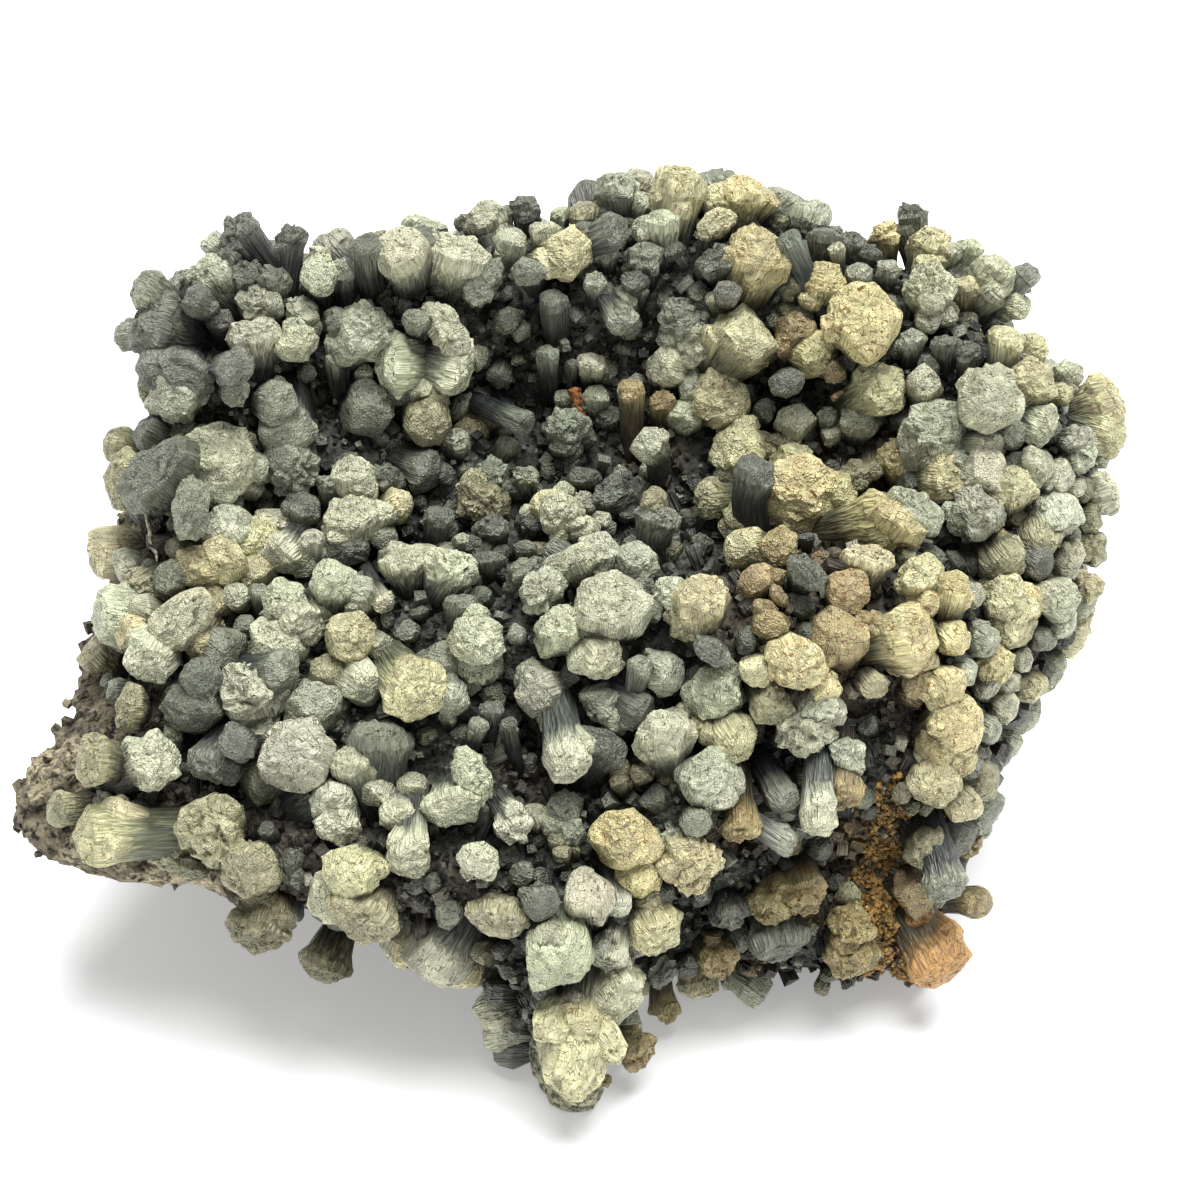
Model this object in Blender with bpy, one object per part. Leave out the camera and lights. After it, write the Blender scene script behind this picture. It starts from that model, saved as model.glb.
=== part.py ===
"""Prehnite specimen: finger-shaped crystal bundles grown over a broken slab of host rock.

Metres, +Z up. The origin is in the middle of the whole, on the surface that it rests on.
Lengths below are in millimetres until a mesh is written.
"""

import math

import bmesh
import bpy
import numpy as np
from mathutils import Vector

MM = 0.001

# Driving dimensions
VIEW_HEIGHT_DEG = 38.0  # how far above level the specimen is looked at from
VIEW_DISTANCE = 400.0
VIEW_MIDDLE = (2.5, 32.0)  # the point looked at, across and up the picture plane through the origin
PLACE_SHIFT = (-2.2, -0.4)  # sets the origin in the middle of the whole
CONTACT_GAP = 0.3  # between the crust and the rock under it
BLEND = 1.5  # how softly neighbouring limbs of the body run together
CRUST_VOXEL = 2.2
ROCK_VOXEL = 2.6
CRUST_TRIANGLES = 1500
ROCK_TRIANGLES = 900
FINGER_SIDES = 6
ROOT_DEPTH = 2.0  # how deep a finger's root goes into the crust
REACH = 16.0  # the longest way a root looks for the crust
SEED = 11

# Limbs: two ends, each (x, y, z, radius). The crust is thick on the right and thin on the left.
CRUST_LIMBS = [
    # the rim round the hollow, from the left end round the back to the right flank
    ((-45, 10, 45, 7.0), (-41, 26, 58, 8.5)),
    ((-41, 26, 58, 8.5), (-22, 30, 59, 9.0)),
    ((-22, 30, 59, 9.0), (0, 33, 60, 9.5)),
    ((0, 33, 60, 9.5), (16, 34, 62, 10)),
    ((16, 34, 62, 10), (38, 27, 57, 10)),
    ((38, 27, 57, 10), (50, 16, 49, 9.5)),
    ((50, 16, 49, 9.5), (48, 4, 38, 9)),
    ((48, 4, 38, 9), (41, -6, 24, 9)),
    # the thin sheet on the left slope and the front-left slab
    ((-45, 10, 45, 7.0), (-46, -8, 35, 6.5)),
    ((-34, 8, 42, 6.0), (-34, -8, 35, 6.5)),
    ((-46, -8, 35, 6.5), (-53, -19, 28, 4.5)),
    ((-53, -19, 28, 4.5), (-34, -25, 25, 5)),
    ((-34, -27, 24, 5), (-14, -28, 23, 7)),
    ((-14, -28, 23, 7), (-3, -30, 20, 8)),
    ((-3, -30, 20, 8), (-1, -41, 2.5, 5.0)),
    ((-38, -15, 31, 6), (-12, -17, 31, 8)),
    # the hill in front of the hollow
    ((-26, -4, 37, 9), (0, -6, 37, 11)),
    ((0, -6, 37, 11), (22, -8, 38, 12)),
    ((22, -8, 38, 12), (35, -3, 38, 13)),
    # the steep wall at the right front, and its foot
    ((34, -12, 28, 11), (33, -12, 12, 9)),
    ((-3, -22, 24, 8), (12, -20, 25, 10)),
    ((12, -20, 25, 10), (34, -12, 22, 9)),
    ((8, -22, 13, 8), (32, -21, 10, 8)),
    ((33, -12, 12, 9), (40, -21, 4, 4.5)),
    # the floor of the hollow and the mass behind it
    ((-32, 18, 46, 9), (-4, 20, 41, 10)),
    ((-4, 20, 41, 10), (30, 20, 44, 11)),
    ((-26, 8, 37, 10), (26, 8, 36, 13)),
    ((10, 28, 46, 12), (30, 26, 44, 13)),
    ((26, 12, 28, 16), (24, 20, 24, 16)),
    ((30, 22, 30, 14), (26, 20, 8, 11)),
    ((32, -6, 20, 9), (30, 12, 20, 11)),
]
ROCK_LIMBS = [
    # the slab that stands out on the left, with nothing under it
    ((-57, -18, 24, 5.5), (-38, -21, 22, 5.5)),
    ((-38, -21, 22, 5.5), (-15, -25, 17, 6)),
    ((-50, -8, 28, 7.5), (-57, -18, 24, 5.5)),
    ((-47, 12, 37, 9), (-50, -8, 27, 8)),
    ((-38, -10, 23, 8), (-16, -10, 22, 9)),
    # the block under the hollow, and its feet
    ((-34, 2, 25, 11), (2, 4, 21, 13)),
    ((-34, 16, 30, 13), (4, 16, 26, 14)),
    ((-40, 24, 41, 9), (-24, 26, 34, 13)),
    ((-24, 29, 40, 11), (-2, 31, 38, 10)),
    ((-30, 19, 16, 13), (4, 20, 15, 12)),
    ((-32, 20, 6, 12), (-8, 23, 6, 11)),
]

# Fingers on the seen side, read off the picture plane in mm: the cap's middle (across, up),
# its width, its length with the neck, the way it points (degrees clockwise from up the
# picture) and how far it leans out of the picture towards the eye (degrees).
FINGERS = [
    # left end of the rim
    (-42.5, 78.5, 4.5, 9, 325, 20),
    (-36.0, 77.5, 3.8, 8, 8, 15),
    (-54.5, 71.0, 5.0, 11, 300, 15),
    (-53.5, 66.0, 8.0, 10, 290, 35),
    (-50.5, 59.5, 9.0, 9, 200, 60),
    (-41.0, 65.5, 6.0, 6, 0, 40),
    (-35.3, 64.0, 4.5, 7, 155, 40),
    (-43.0, 60.5, 4.0, 14, 115, 20),
    (-37.0, 54.0, 6.0, 8, 150, 35),
    (-45.0, 50.0, 8.5, 7, 20, 60),
    (-53.0, 48.0, 8.0, 12, 300, 30),
    # middle of the rim and the four-lobed flower below it
    (-32.7, 72.5, 4.5, 8, 150, 35),
    (-26.8, 76.0, 4.0, 10, 0, 15),
    (-22.5, 75.5, 6.0, 10, 310, 20),
    (-15.5, 75.5, 8.0, 9, 20, 40),
    (-6.5, 73.0, 3.6, 12, 175, 15),
    (-1.2, 75.2, 5.5, 6, 90, 60),
    (-16.5, 66.0, 7.0, 7, 25, 20),
    (-23.5, 61.5, 7.0, 6, 275, 25),
    (-15.0, 60.8, 6.5, 7, 105, 25),
    (-19.5, 58.2, 5.5, 5, 185, 30),
    (4.3, 84.0, 5.0, 7, 350, 20),
    (12.8, 84.0, 5.5, 8, 10, 20),
    (20.5, 83.0, 5.5, 6, 10, 20),
    (22.7, 75.0, 7.0, 8, 25, 45),
    (30.5, 72.0, 5.0, 5, 20, 50),
    (35.5, 67.5, 8.3, 12, 15, 40),
    (41.5, 80.0, 4.0, 5, 350, 20),
    (52.0, 73.0, 5.0, 8, 35, 25),
    (20.8, 65.0, 7.0, 8, 40, 35),
    (18.0, 57.5, 6.5, 6, 70, 50),
    (29.5, 62.5, 5.0, 5, 120, 55),
    # right flank
    (53.2, 65.0, 4.5, 7, 5, 25),
    (51.5, 57.0, 7.0, 10, 100, 25),
    (57.0, 60.0, 5.5, 6, 60, 50),
    (66.0, 57.0, 6.5, 8, 70, 20),
    (45.0, 53.5, 8.0, 5, 0, 60),
    (66.0, 46.5, 5.5, 6, 70, 25),
    (54.0, 46.5, 5.0, 5, 0, 55),
    (49.8, 43.0, 6.0, 7, 110, 50),
    (60.0, 41.0, 5.5, 5, 130, 40),
    (64.5, 36.0, 4.5, 4, 110, 30),
    (60.2, 31.0, 5.0, 6, 110, 40),
    (53.5, 32.0, 6.0, 5, 120, 50),
    (56.6, 21.0, 4.5, 4, 120, 35),
    (42.0, 27.5, 7.0, 7, 80, 35),
    (47.5, 15.5, 7.0, 7, 95, 45),
    (44.3, 8.5, 5.5, 5, 150, 50),
    (45.5, -3.0, 5.0, 11, 165, 30),
    (44.5, -13.0, 6.5, 8, 150, 30),
    # the hill and the slope down to the front spike
    (19.5, 51.0, 6.5, 5, 300, 50),
    (28.0, 45.5, 8.5, 8, 60, 60),
    (37.5, 42.5, 7.0, 8, 100, 35),
    (9.0, 42.5, 5.0, 8, 80, 20),
    (35.5, 37.5, 6.0, 7, 10, 35),
    (28.5, 35.5, 5.0, 8, 165, 25),
    (32.0, 28.0, 6.5, 4, 0, 50),
    (27.0, 24.0, 6.0, 8, 170, 40),
    (3.5, 31.5, 7.5, 9, 0, 60),
    (15.3, 32.0, 6.5, 8, 0, 45),
    (17.0, 20.0, 6.3, 6, 180, 60),
    (10.5, 15.5, 6.0, 8, 350, 45),
    (19.3, 14.5, 5.5, 6, 150, 45),
    (16.3, 9.5, 7.0, 7, 0, 60),
    (28.5, 16.0, 7.0, 5, 0, 50),
    (5.5, 2.0, 7.0, 7, 0, 60),
    (14.5, -1.5, 6.5, 6, 150, 50),
    (29.8, 4.5, 4.5, 10, 182, 30),
    (25.0, -11.0, 7.0, 6, 170, 30),
    (34.0, -10.5, 6.0, 6, 160, 45),
    (9.5, -9.5, 6.0, 7, 150, 45),
    (-2.5, -13.0, 7.5, 8, 180, 50),
    (4.5, -17.5, 6.5, 6, 150, 45),
    (-0.5, -25.0, 8.5, 10, 190, 20),
    # the left slope and the slab
    (-28.3, 46.5, 5.5, 9, 0, 45),
    (-2.5, 43.0, 5.0, 7, 340, 50),
    (-22.0, 37.0, 5.5, 6, 350, 30),
    (-15.5, 35.5, 5.0, 6, 30, 40),
    (-13.0, 27.0, 6.0, 7, 190, 50),
    (-28.7, 27.5, 5.5, 6.5, 0, 60),
    (-3.0, 28.5, 5.5, 6, 330, 30),
    (-44.0, 39.0, 8.0, 8, 340, 45),
    (-37.5, 29.0, 6.5, 5, 0, 60),
    (-58.5, 30.0, 6.0, 7, 280, 20),
    (-50.0, 29.5, 9.0, 9, 215, 40),
    (-20.5, 20.0, 6.5, 9, 140, 45),
    (-41.0, 20.0, 8.0, 6, 0, 50),
    (-62.0, 12.0, 6.0, 12, 245, 25),
    (-53.0, 12.3, 6.0, 8, 60, 45),
    (-46.0, 11.0, 6.0, 8, 200, 40),
    (-61.0, 2.5, 6.5, 11, 270, 35),
    (-46.5, 3.0, 7.0, 7, 270, 55),
    (-34.5, 12.0, 8.0, 9, 320, 55),
    (-21.5, 0.0, 5.0, 6, 180, 40),
    (-29.0, -2.0, 6.0, 10, 205, 25),
    (-15.0, 8.0, 7.5, 7, 150, 40),
    (-12.8, 1.5, 4.5, 9, 190, 25),
    (-1.5, 12.5, 5.3, 11, 170, 40),
    (-10.5, -7.5, 7.0, 8, 180, 30),
]

# Fingers on the far side: rows (height, lowest bearing, highest bearing, how many), with the
# bearing in degrees from +X towards +Y, seen from the middle of the specimen.
FAR_ROWS = [(62, 30, 150, 8), (49, 5, 160, 10), (36, 10, 120, 6), (22, 5, 95, 5)]
FAR_WIDTH = 7.0
FAR_LENGTH = 8.0
FAR_RISE = 0.35  # how far a far-side finger turns upwards from the surface's own direction
FAR_MIDDLE = (2.0, 10.0)
FAR_START = 110.0

height = math.radians(VIEW_HEIGHT_DEG)
ACROSS = np.array((1.0, 0.0, 0.0))
UP = np.array((0.0, math.sin(height), math.cos(height)))
TOWARDS_EYE = np.array((0.0, -math.cos(height), math.sin(height)))
EYE = VIEW_MIDDLE[0] * ACROSS + VIEW_MIDDLE[1] * UP + VIEW_DISTANCE * TOWARDS_EYE


def clear_scene():
    """Removes every object that the file opened with."""
    for item in list(bpy.data.objects):
        bpy.data.objects.remove(item, do_unlink=True)


def limb_distance(point, limb):
    """Distance from a point to a limb: to its axis, less the radius at the nearest place."""
    first, last = np.array(limb[0], float), np.array(limb[1], float)
    axis = last[:3] - first[:3]
    along = np.clip((point - first[:3]) @ axis / (axis @ axis), 0, 1)
    radius = first[3] + along * (last[3] - first[3])
    return np.linalg.norm(point - first[:3] - along * axis) - radius


def body_distance(point):
    """Smooth distance from a point to the whole body, crust and rock together."""
    near = np.array([limb_distance(point, limb) for limb in CRUST_LIMBS + ROCK_LIMBS])
    return near.min() - BLEND * math.log(np.exp((near.min() - near) / BLEND).sum())


def body_normal(point):
    """Unit vector in which the distance to the body grows fastest."""
    step = 0.4
    slopes = [body_distance(point + step * axis) - body_distance(point - step * axis) for axis in np.eye(3)]
    return np.array(slopes) / np.linalg.norm(slopes)


def walk_to(start, direction, stand, reach):
    """Walks from a start until the body is only `stand` away; returns the point, or the nearest one."""
    gone = 0.0
    best = (float("inf"), start)
    while gone < reach:
        point = start + gone * direction
        left = body_distance(point) - stand
        if left < best[0]:
            best = (left, point)
        if left < 0.1:
            break
        gone += 0.8 * left
    return best[1]


def rooted(cap, direction):
    """Follows a finger back from its cap to where it enters the crust, and a little further."""
    point = cap
    for _ in range(60):
        if body_distance(point) < -ROOT_DEPTH:
            return point
        point = point - 0.5 * direction
        if np.linalg.norm(point - cap) > REACH:
            break
    inward = -body_normal(cap)
    point = walk_to(cap, inward, -ROOT_DEPTH + 0.3, 2 * REACH)
    return point + inward * 0.5


def finger_mesh(bm, root, cap, width, seed):
    """Adds a finger to bm: a neck that widens into a rounded cap, as rings round a straight axis."""
    rng = np.random.default_rng(seed)
    axis = cap - root
    reach = np.linalg.norm(axis)
    axis = axis / reach
    side = np.cross(axis, (0.31, 0.17, 0.93))
    side = side / np.linalg.norm(side)
    other = np.cross(axis, side)
    # each ring: distance along the axis, radius
    rings = [
        (0.0, 0.28 * width),
        (max(reach - 0.05 * width, 0.6 * reach), 0.50 * width),
        (reach + 0.30 * width, 0.36 * width),
    ]
    angles = np.arange(FINGER_SIDES) * 2 * math.pi / FINGER_SIDES + rng.uniform(0, 1)
    spread = rng.uniform(0.88, 1.08, FINGER_SIDES)
    made = []
    for along, radius in rings:
        ring = []
        for angle, wide in zip(angles, spread):
            outward = math.cos(angle) * side + math.sin(angle) * other
            ring.append(bm.verts.new(Vector((root + along * axis + radius * wide * outward) * MM)))
        made.append(ring)
    tip = bm.verts.new(Vector((root + (reach + 0.42 * width) * axis) * MM))
    for low, high in zip(made, made[1:]):
        for i in range(FINGER_SIDES):
            j = (i + 1) % FINGER_SIDES
            bm.faces.new((low[i], low[j], high[j], high[i]))
    bm.faces.new(list(reversed(made[0])))
    for i in range(FINGER_SIDES):
        bm.faces.new((made[-1][i], made[-1][(i + 1) % FINGER_SIDES], tip))


def seen_fingers():
    """Root, cap middle and width of each finger laid out on the picture plane."""
    placed = []
    for across, up, width, length, pointing, lean in FINGERS:
        sight = across * ACROSS + up * UP - EYE
        sight = sight / np.linalg.norm(sight)
        heading = math.radians(pointing)
        out = math.radians(lean)
        direction = math.cos(out) * (math.sin(heading) * ACROSS + math.cos(heading) * UP)
        direction = direction + math.sin(out) * TOWARDS_EYE
        stand = max(0.15 * width, 0.55 * (length - 0.5 * width))
        cap = walk_to(EYE + 300.0 * sight, sight, stand, 200.0)
        placed.append((rooted(cap, direction), cap, width))
    return placed


def far_fingers():
    """Root, cap middle and width of each finger on the side that the picture hides."""
    rng = np.random.default_rng(SEED)
    placed = []
    for level, first, last, count in FAR_ROWS:
        for step in range(count):
            bearing = math.radians(first + (last - first) * (step + rng.uniform(0.1, 0.9)) / count)
            outward = np.array((math.cos(bearing), math.sin(bearing), 0.0))
            middle = np.array((*FAR_MIDDLE, level + rng.uniform(-4, 4)))
            foot = walk_to(middle + FAR_START * outward, -outward, 0.0, FAR_START)
            direction = body_normal(foot) + np.array((0, 0, FAR_RISE))
            direction = direction / np.linalg.norm(direction)
            width = FAR_WIDTH * rng.uniform(0.75, 1.15)
            cap = foot + direction * (FAR_LENGTH * rng.uniform(0.5, 0.8) - 0.4 * width)
            placed.append((foot - ROOT_DEPTH * direction, cap, width))
    return placed


def new_object(name, mesh, hidden=False):
    """Links a mesh as an object; a hidden one only shapes another."""
    item = bpy.data.objects.new(name, mesh)
    bpy.context.scene.collection.objects.link(item)
    if hidden:
        item.hide_render = True
        item.display_type = "WIRE"
    return item


def settle(item):
    """Puts an object's modifiers into its mesh."""
    graph = bpy.context.evaluated_depsgraph_get()
    mesh = bpy.data.meshes.new_from_object(item.evaluated_get(graph))
    item.modifiers.clear()
    item.data = mesh


def finger_object():
    """All fingers as one mesh of closed bodies that still run through each other."""
    bm = bmesh.new()
    for seed, (root, cap, width) in enumerate(seen_fingers() + far_fingers()):
        finger_mesh(bm, root, cap, width, seed)
    mesh = bpy.data.meshes.new("fingers")
    bmesh.ops.recalc_face_normals(bm, faces=bm.faces)
    bm.to_mesh(mesh)
    bm.free()
    return new_object("fingers", mesh, hidden=True)


def limb_hull(bm, limb):
    """Adds a limb to bm as the closed hull over the balls at its two ends."""
    balls = bmesh.new()
    for x, y, z, radius in limb:
        made = bmesh.ops.create_icosphere(balls, subdivisions=2, radius=radius * MM)
        bmesh.ops.translate(balls, verts=made["verts"], vec=Vector((x, y, z)) * MM)
    points = [bm.verts.new(vert.co) for vert in balls.verts]
    balls.free()
    bmesh.ops.convex_hull(bm, input=points)
    bmesh.ops.delete(bm, geom=[point for point in points if not point.link_faces], context="VERTS")


def limb_object(name, limbs, voxel, triangles, roughness_mm, wave_mm):
    """One lumpy body from a list of limbs: their hulls, fused, roughened and thinned."""
    bm = bmesh.new()
    for limb in limbs:
        limb_hull(bm, limb)
    bmesh.ops.recalc_face_normals(bm, faces=bm.faces)
    mesh = bpy.data.meshes.new(name)
    bm.to_mesh(mesh)
    bm.free()
    item = new_object(name, mesh)
    fuse = item.modifiers.new("fuse", "REMESH")
    fuse.mode = "VOXEL"
    fuse.voxel_size = voxel * MM
    relax = item.modifiers.new("relax", "SMOOTH")
    relax.factor = 0.5
    relax.iterations = 4
    settle(item)
    roughen(item.data, roughness_mm, wave_mm)
    thin = item.modifiers.new("thin", "DECIMATE")
    faces = sum(len(face.vertices) - 2 for face in item.data.polygons)
    thin.ratio = min(1.0, triangles / faces)
    settle(item)
    return item


def roughen(mesh, amount, wave):
    """Moves each point along its normal by a sum of crossed waves, for a broken, lumpy surface."""
    count = len(mesh.vertices)
    place = np.empty(count * 3, np.float32)
    normal = np.empty(count * 3, np.float32)
    mesh.vertices.foreach_get("co", place)
    mesh.vertex_normals.foreach_get("vector", normal)
    place = place.reshape(-1, 3)
    normal = normal.reshape(-1, 3)
    phase = place / (wave * MM) * 2 * math.pi
    lift = np.sin(phase[:, 0] + 1.7 * np.sin(0.6 * phase[:, 1]))
    lift = lift + np.sin(phase[:, 1] + 1.3 * np.sin(0.7 * phase[:, 2]) + 0.8)
    lift = lift + np.sin(phase[:, 2] + 1.1 * np.sin(0.5 * phase[:, 0]) + 2.1)
    place = place + normal * (lift * amount / 3 * MM)[:, None]
    mesh.vertices.foreach_set("co", place.ravel())
    mesh.update()


def ground_block():
    """A block under the surface that the specimen rests on, which cuts its feet flat."""
    bm = bmesh.new()
    bmesh.ops.create_cube(bm, size=1.0)
    bmesh.ops.scale(bm, verts=bm.verts, vec=(0.3, 0.3, 0.05))
    bmesh.ops.translate(bm, verts=bm.verts, vec=(0, 0, -0.025))
    mesh = bpy.data.meshes.new("ground")
    bm.to_mesh(mesh)
    bm.free()
    return new_object("ground", mesh, hidden=True)


def swollen(item, amount):
    """A hidden copy of a body, grown by a small amount all over."""
    copy = new_object(item.name + "_swollen", item.data.copy(), hidden=True)
    grow = copy.modifiers.new("grow", "DISPLACE")
    grow.mid_level = 0.0
    grow.strength = amount * MM
    settle(copy)
    return copy


def combine(item, tool, operation, crossing=False):
    """Adds a tool body to an object or takes it away."""
    step = item.modifiers.new(operation.lower(), "BOOLEAN")
    step.operation = operation
    step.object = tool
    step.use_self = crossing
    settle(item)


def keep_largest_piece(item):
    """Deletes crumbs that a cut left loose."""
    bm = bmesh.new()
    bm.from_mesh(item.data)
    waiting = set(bm.verts)
    pieces = []
    while waiting:
        front = [waiting.pop()]
        piece = set(front)
        while front:
            for edge in front.pop().link_edges:
                for vert in edge.verts:
                    if vert in waiting:
                        waiting.discard(vert)
                        piece.add(vert)
                        front.append(vert)
        pieces.append(piece)
    pieces.sort(key=len)
    for piece in pieces[:-1]:
        bmesh.ops.delete(bm, geom=list(piece), context="VERTS")
    bmesh.ops.triangulate(bm, faces=bm.faces)
    bm.to_mesh(item.data)
    bm.free()


def paint(item, name, colour, roughness):
    """Gives an object its own plain material."""
    material = bpy.data.materials.new(name)
    material.use_nodes = True
    shader = material.node_tree.nodes["Principled BSDF"]
    shader.inputs["Base Color"].default_value = (*colour, 1.0)
    shader.inputs["Roughness"].default_value = roughness
    shader.inputs["Metallic"].default_value = 0.0
    item.data.materials.clear()
    item.data.materials.append(material)


def place(item):
    """Moves a finished body so that the origin is in the middle of the whole."""
    for vertex in item.data.vertices:
        vertex.co.x += PLACE_SHIFT[0] * MM
        vertex.co.y += PLACE_SHIFT[1] * MM


clear_scene()
ground = ground_block()
rock = limb_object("matrix", ROCK_LIMBS, ROCK_VOXEL, ROCK_TRIANGLES, 1.6, 17.0)
crust = limb_object("prehnite", CRUST_LIMBS, CRUST_VOXEL, CRUST_TRIANGLES, 0.9, 11.0)
room = swollen(rock, CONTACT_GAP)
combine(crust, finger_object(), "UNION", crossing=True)
combine(crust, room, "DIFFERENCE")
for body in (rock, crust):
    combine(body, ground, "DIFFERENCE")
    keep_largest_piece(body)
    place(body)
paint(rock, "host_rock", (0.156, 0.114, 0.080), 0.9)
paint(crust, "pale_green_prehnite", (0.376, 0.413, 0.242), 0.45)
for tool in [item for item in bpy.data.objects if item.hide_render]:
    bpy.data.objects.remove(tool, do_unlink=True)
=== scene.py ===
"""A prehnite specimen: pale green club- and fan-shaped crystal bundles on a broken slab of host rock.

Lengths are millimetres in a frame with its zero under the specimen until a mesh is written.
"""
import itertools
import math

import bpy
import numpy as np
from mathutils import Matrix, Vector


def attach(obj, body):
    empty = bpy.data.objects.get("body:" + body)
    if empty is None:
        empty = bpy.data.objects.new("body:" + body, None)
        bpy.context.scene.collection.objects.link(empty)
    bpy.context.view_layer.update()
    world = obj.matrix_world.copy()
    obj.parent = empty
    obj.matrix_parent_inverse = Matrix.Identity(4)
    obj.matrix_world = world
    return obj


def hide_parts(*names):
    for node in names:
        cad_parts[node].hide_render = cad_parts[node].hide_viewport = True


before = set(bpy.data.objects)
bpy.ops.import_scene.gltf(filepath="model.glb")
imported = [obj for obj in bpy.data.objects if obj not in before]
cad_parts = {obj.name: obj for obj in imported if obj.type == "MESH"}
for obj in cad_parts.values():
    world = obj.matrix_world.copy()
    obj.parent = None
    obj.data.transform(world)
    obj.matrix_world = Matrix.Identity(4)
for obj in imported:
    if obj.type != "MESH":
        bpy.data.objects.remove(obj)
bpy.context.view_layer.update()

# The host rock. A slab of dark, porous rock stands out on the left with nothing under it, and a
# thicker block with a broad foot lies behind it. It broke as one lump, so it is one surface where
# a distance to a few limbs is zero, roughened at four scales and flat where it rests.
MM = 0.001
PLACE_SHIFT = np.array((-2.2, -0.4, 0.0))  # from the working frame to the middle of the specimen's box
TABLE_GAP = 0.05  # how far every mesh stays above the table
BLEND = 1.5  # how softly neighbouring limbs run together
LUMP_REACH = 5.5  # how far from a surface its lumps are worked out
ROCK_STEP = 0.75
ROCK_DRAWN_IN = 1.4  # how far the rock is drawn in, to make room for its ledges
ROCK_LUMPS = ((2.0, 13.0, 9, True), (1.3, 5.5, 4, True), (0.7, 2.3, 5, True), (0.35, 1.2, 6, False))
FLATTENED = np.array((1.0, 1.0, 1.6))  # the rock's lumps are wider than high, which makes them ledges
ROCK_LIMBS = [
    ((-57, -18, 24, 5.5), (-38, -21, 22, 5.5)),
    ((-38, -21, 22, 5.5), (-15, -25, 17, 6)),
    ((-50, -8, 28, 7.5), (-57, -18, 24, 5.5)),
    ((-47, 12, 37, 9), (-50, -8, 27, 8)),
    ((-38, -10, 23, 8), (-16, -10, 22, 9)),
    ((-34, 2, 25, 11), (2, 4, 21, 13)),
    ((-34, 16, 30, 13), (4, 16, 26, 14)),
    ((-40, 24, 41, 9), (-24, 26, 34, 13)),
    ((-24, 29, 40, 11), (-2, 31, 38, 10)),
    ((-30, 19, 16, 13), (4, 20, 15, 12)),
    ((-32, 20, 6, 12), (-8, 23, 6, 11)),
]

CORNER_KEYS = (73856093, 19349663, 83492791)  # large odd numbers that scramble a corner's place
SEED_KEY = 2654435
SCRAMBLES = ((13, 1274126177), (15, 668265263))  # a shift and a factor for each further scramble


def limb_distance(points, limbs):
    """Distance to limbs that run into each other. A limb joins two balls (x, y, z, radius).

    To one limb it is the distance to its axis less the radius there. Together it is
    -b ln(sum of exp(-distance / b)), which rounds each inner corner by about b.
    """
    total = np.full(points.shape[:-1], 1e-30, np.float32)
    for start, end in limbs:
        first, last = np.array(start, np.float32), np.array(end, np.float32)
        axis = last[:3] - first[:3]
        away = points - first[:3]
        along = np.clip(away @ axis / (axis @ axis), 0.0, 1.0)
        away = np.linalg.norm(away - along[..., None] * axis, axis=-1)
        total += np.exp((first[3] + along * (last[3] - first[3]) - away) / BLEND)
    return -BLEND * np.log(total)


def lattice_noise(points, size, seed):
    """Smooth noise from -1 to 1: random values on a lattice of that size, blended by 3t^2 - 2t^3."""
    place = points / size + 0.5 * seed
    cell = np.floor(place).astype(np.int64)
    part = place - cell
    part = part * part * (3 - 2 * part)
    value = np.zeros(points.shape[:-1])
    for corner in itertools.product((0, 1), repeat=3):
        key = (cell + corner) * CORNER_KEYS
        key = key[..., 0] ^ key[..., 1] ^ key[..., 2] ^ (seed * SEED_KEY)
        for shift, factor in SCRAMBLES:
            key = ((key ^ (key >> shift)) * factor) & 0xFFFFFFFF
        weight = np.where(corner, part, 1 - part).prod(axis=-1)
        value += weight * ((key >> 8) / (0.5 * (2**24 - 1)) - 1)
    return value


def level_surface(distance, low, step):
    """The surface where a distance on a grid is zero: one point in each cell that it passes through.

    The point is the mean of the places where it crosses the cell's edges, and each grid edge
    that it crosses gives the face between the four cells round that edge.
    """
    inside = distance < 0
    count = np.zeros(np.array(inside.shape) - 1, np.int8)
    for corner in itertools.product((0, 1), repeat=3):
        count += inside[tuple(slice(c, s - 1 + c) for c, s in zip(corner, inside.shape))]
    cells = np.argwhere((count > 0) & (count < 8))
    total = np.zeros((len(cells), 3))
    crossed = np.zeros(len(cells))
    units = np.eye(3, dtype=int)
    for axis in range(3):
        others = [units[i] for i in range(3) if i != axis]
        for near, far in itertools.product((0, 1), repeat=2):
            start = cells + near * others[0] + far * others[1]
            end = start + units[axis]
            before, after = distance[tuple(start.T)], distance[tuple(end.T)]
            hit = (before < 0) != (after < 0)
            share = np.where(hit, before / np.where(hit, before - after, 1), 0)
            total += hit[:, None] * (start + share[:, None] * units[axis])
            crossed += hit
    number = np.full(count.shape, -1)
    number[tuple(cells.T)] = np.arange(len(cells))
    faces = []
    for axis in range(3):
        side, other = units[(axis + 1) % 3], units[(axis + 2) % 3]
        ahead = np.moveaxis(inside, axis, 0)
        change = np.moveaxis(ahead[1:] != ahead[:-1], 0, axis)
        edges = np.argwhere(change)
        edges = edges[(edges @ (side + other) > 0) & (edges @ side > 0) & (edges @ other > 0)]
        edges = edges[(edges < np.array(count.shape)).all(axis=1)]
        ring = [edges, edges - side, edges - side - other, edges - other]
        quads = np.stack([number[tuple(corner.T)] for corner in ring], axis=1)
        outward = inside[tuple(edges.T)]
        faces.append(np.where(outward[:, None], quads, quads[:, ::-1]))
    return low + step * total / crossed[:, None], np.concatenate(faces)


def sample_grid(low, high, step):
    """Points of a grid with that step between two corners."""
    ticks = [np.arange(a, b + step, step, dtype=np.float32) for a, b in zip(low, high)]
    return np.stack(np.meshgrid(*ticks, indexing="ij"), axis=-1)


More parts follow.
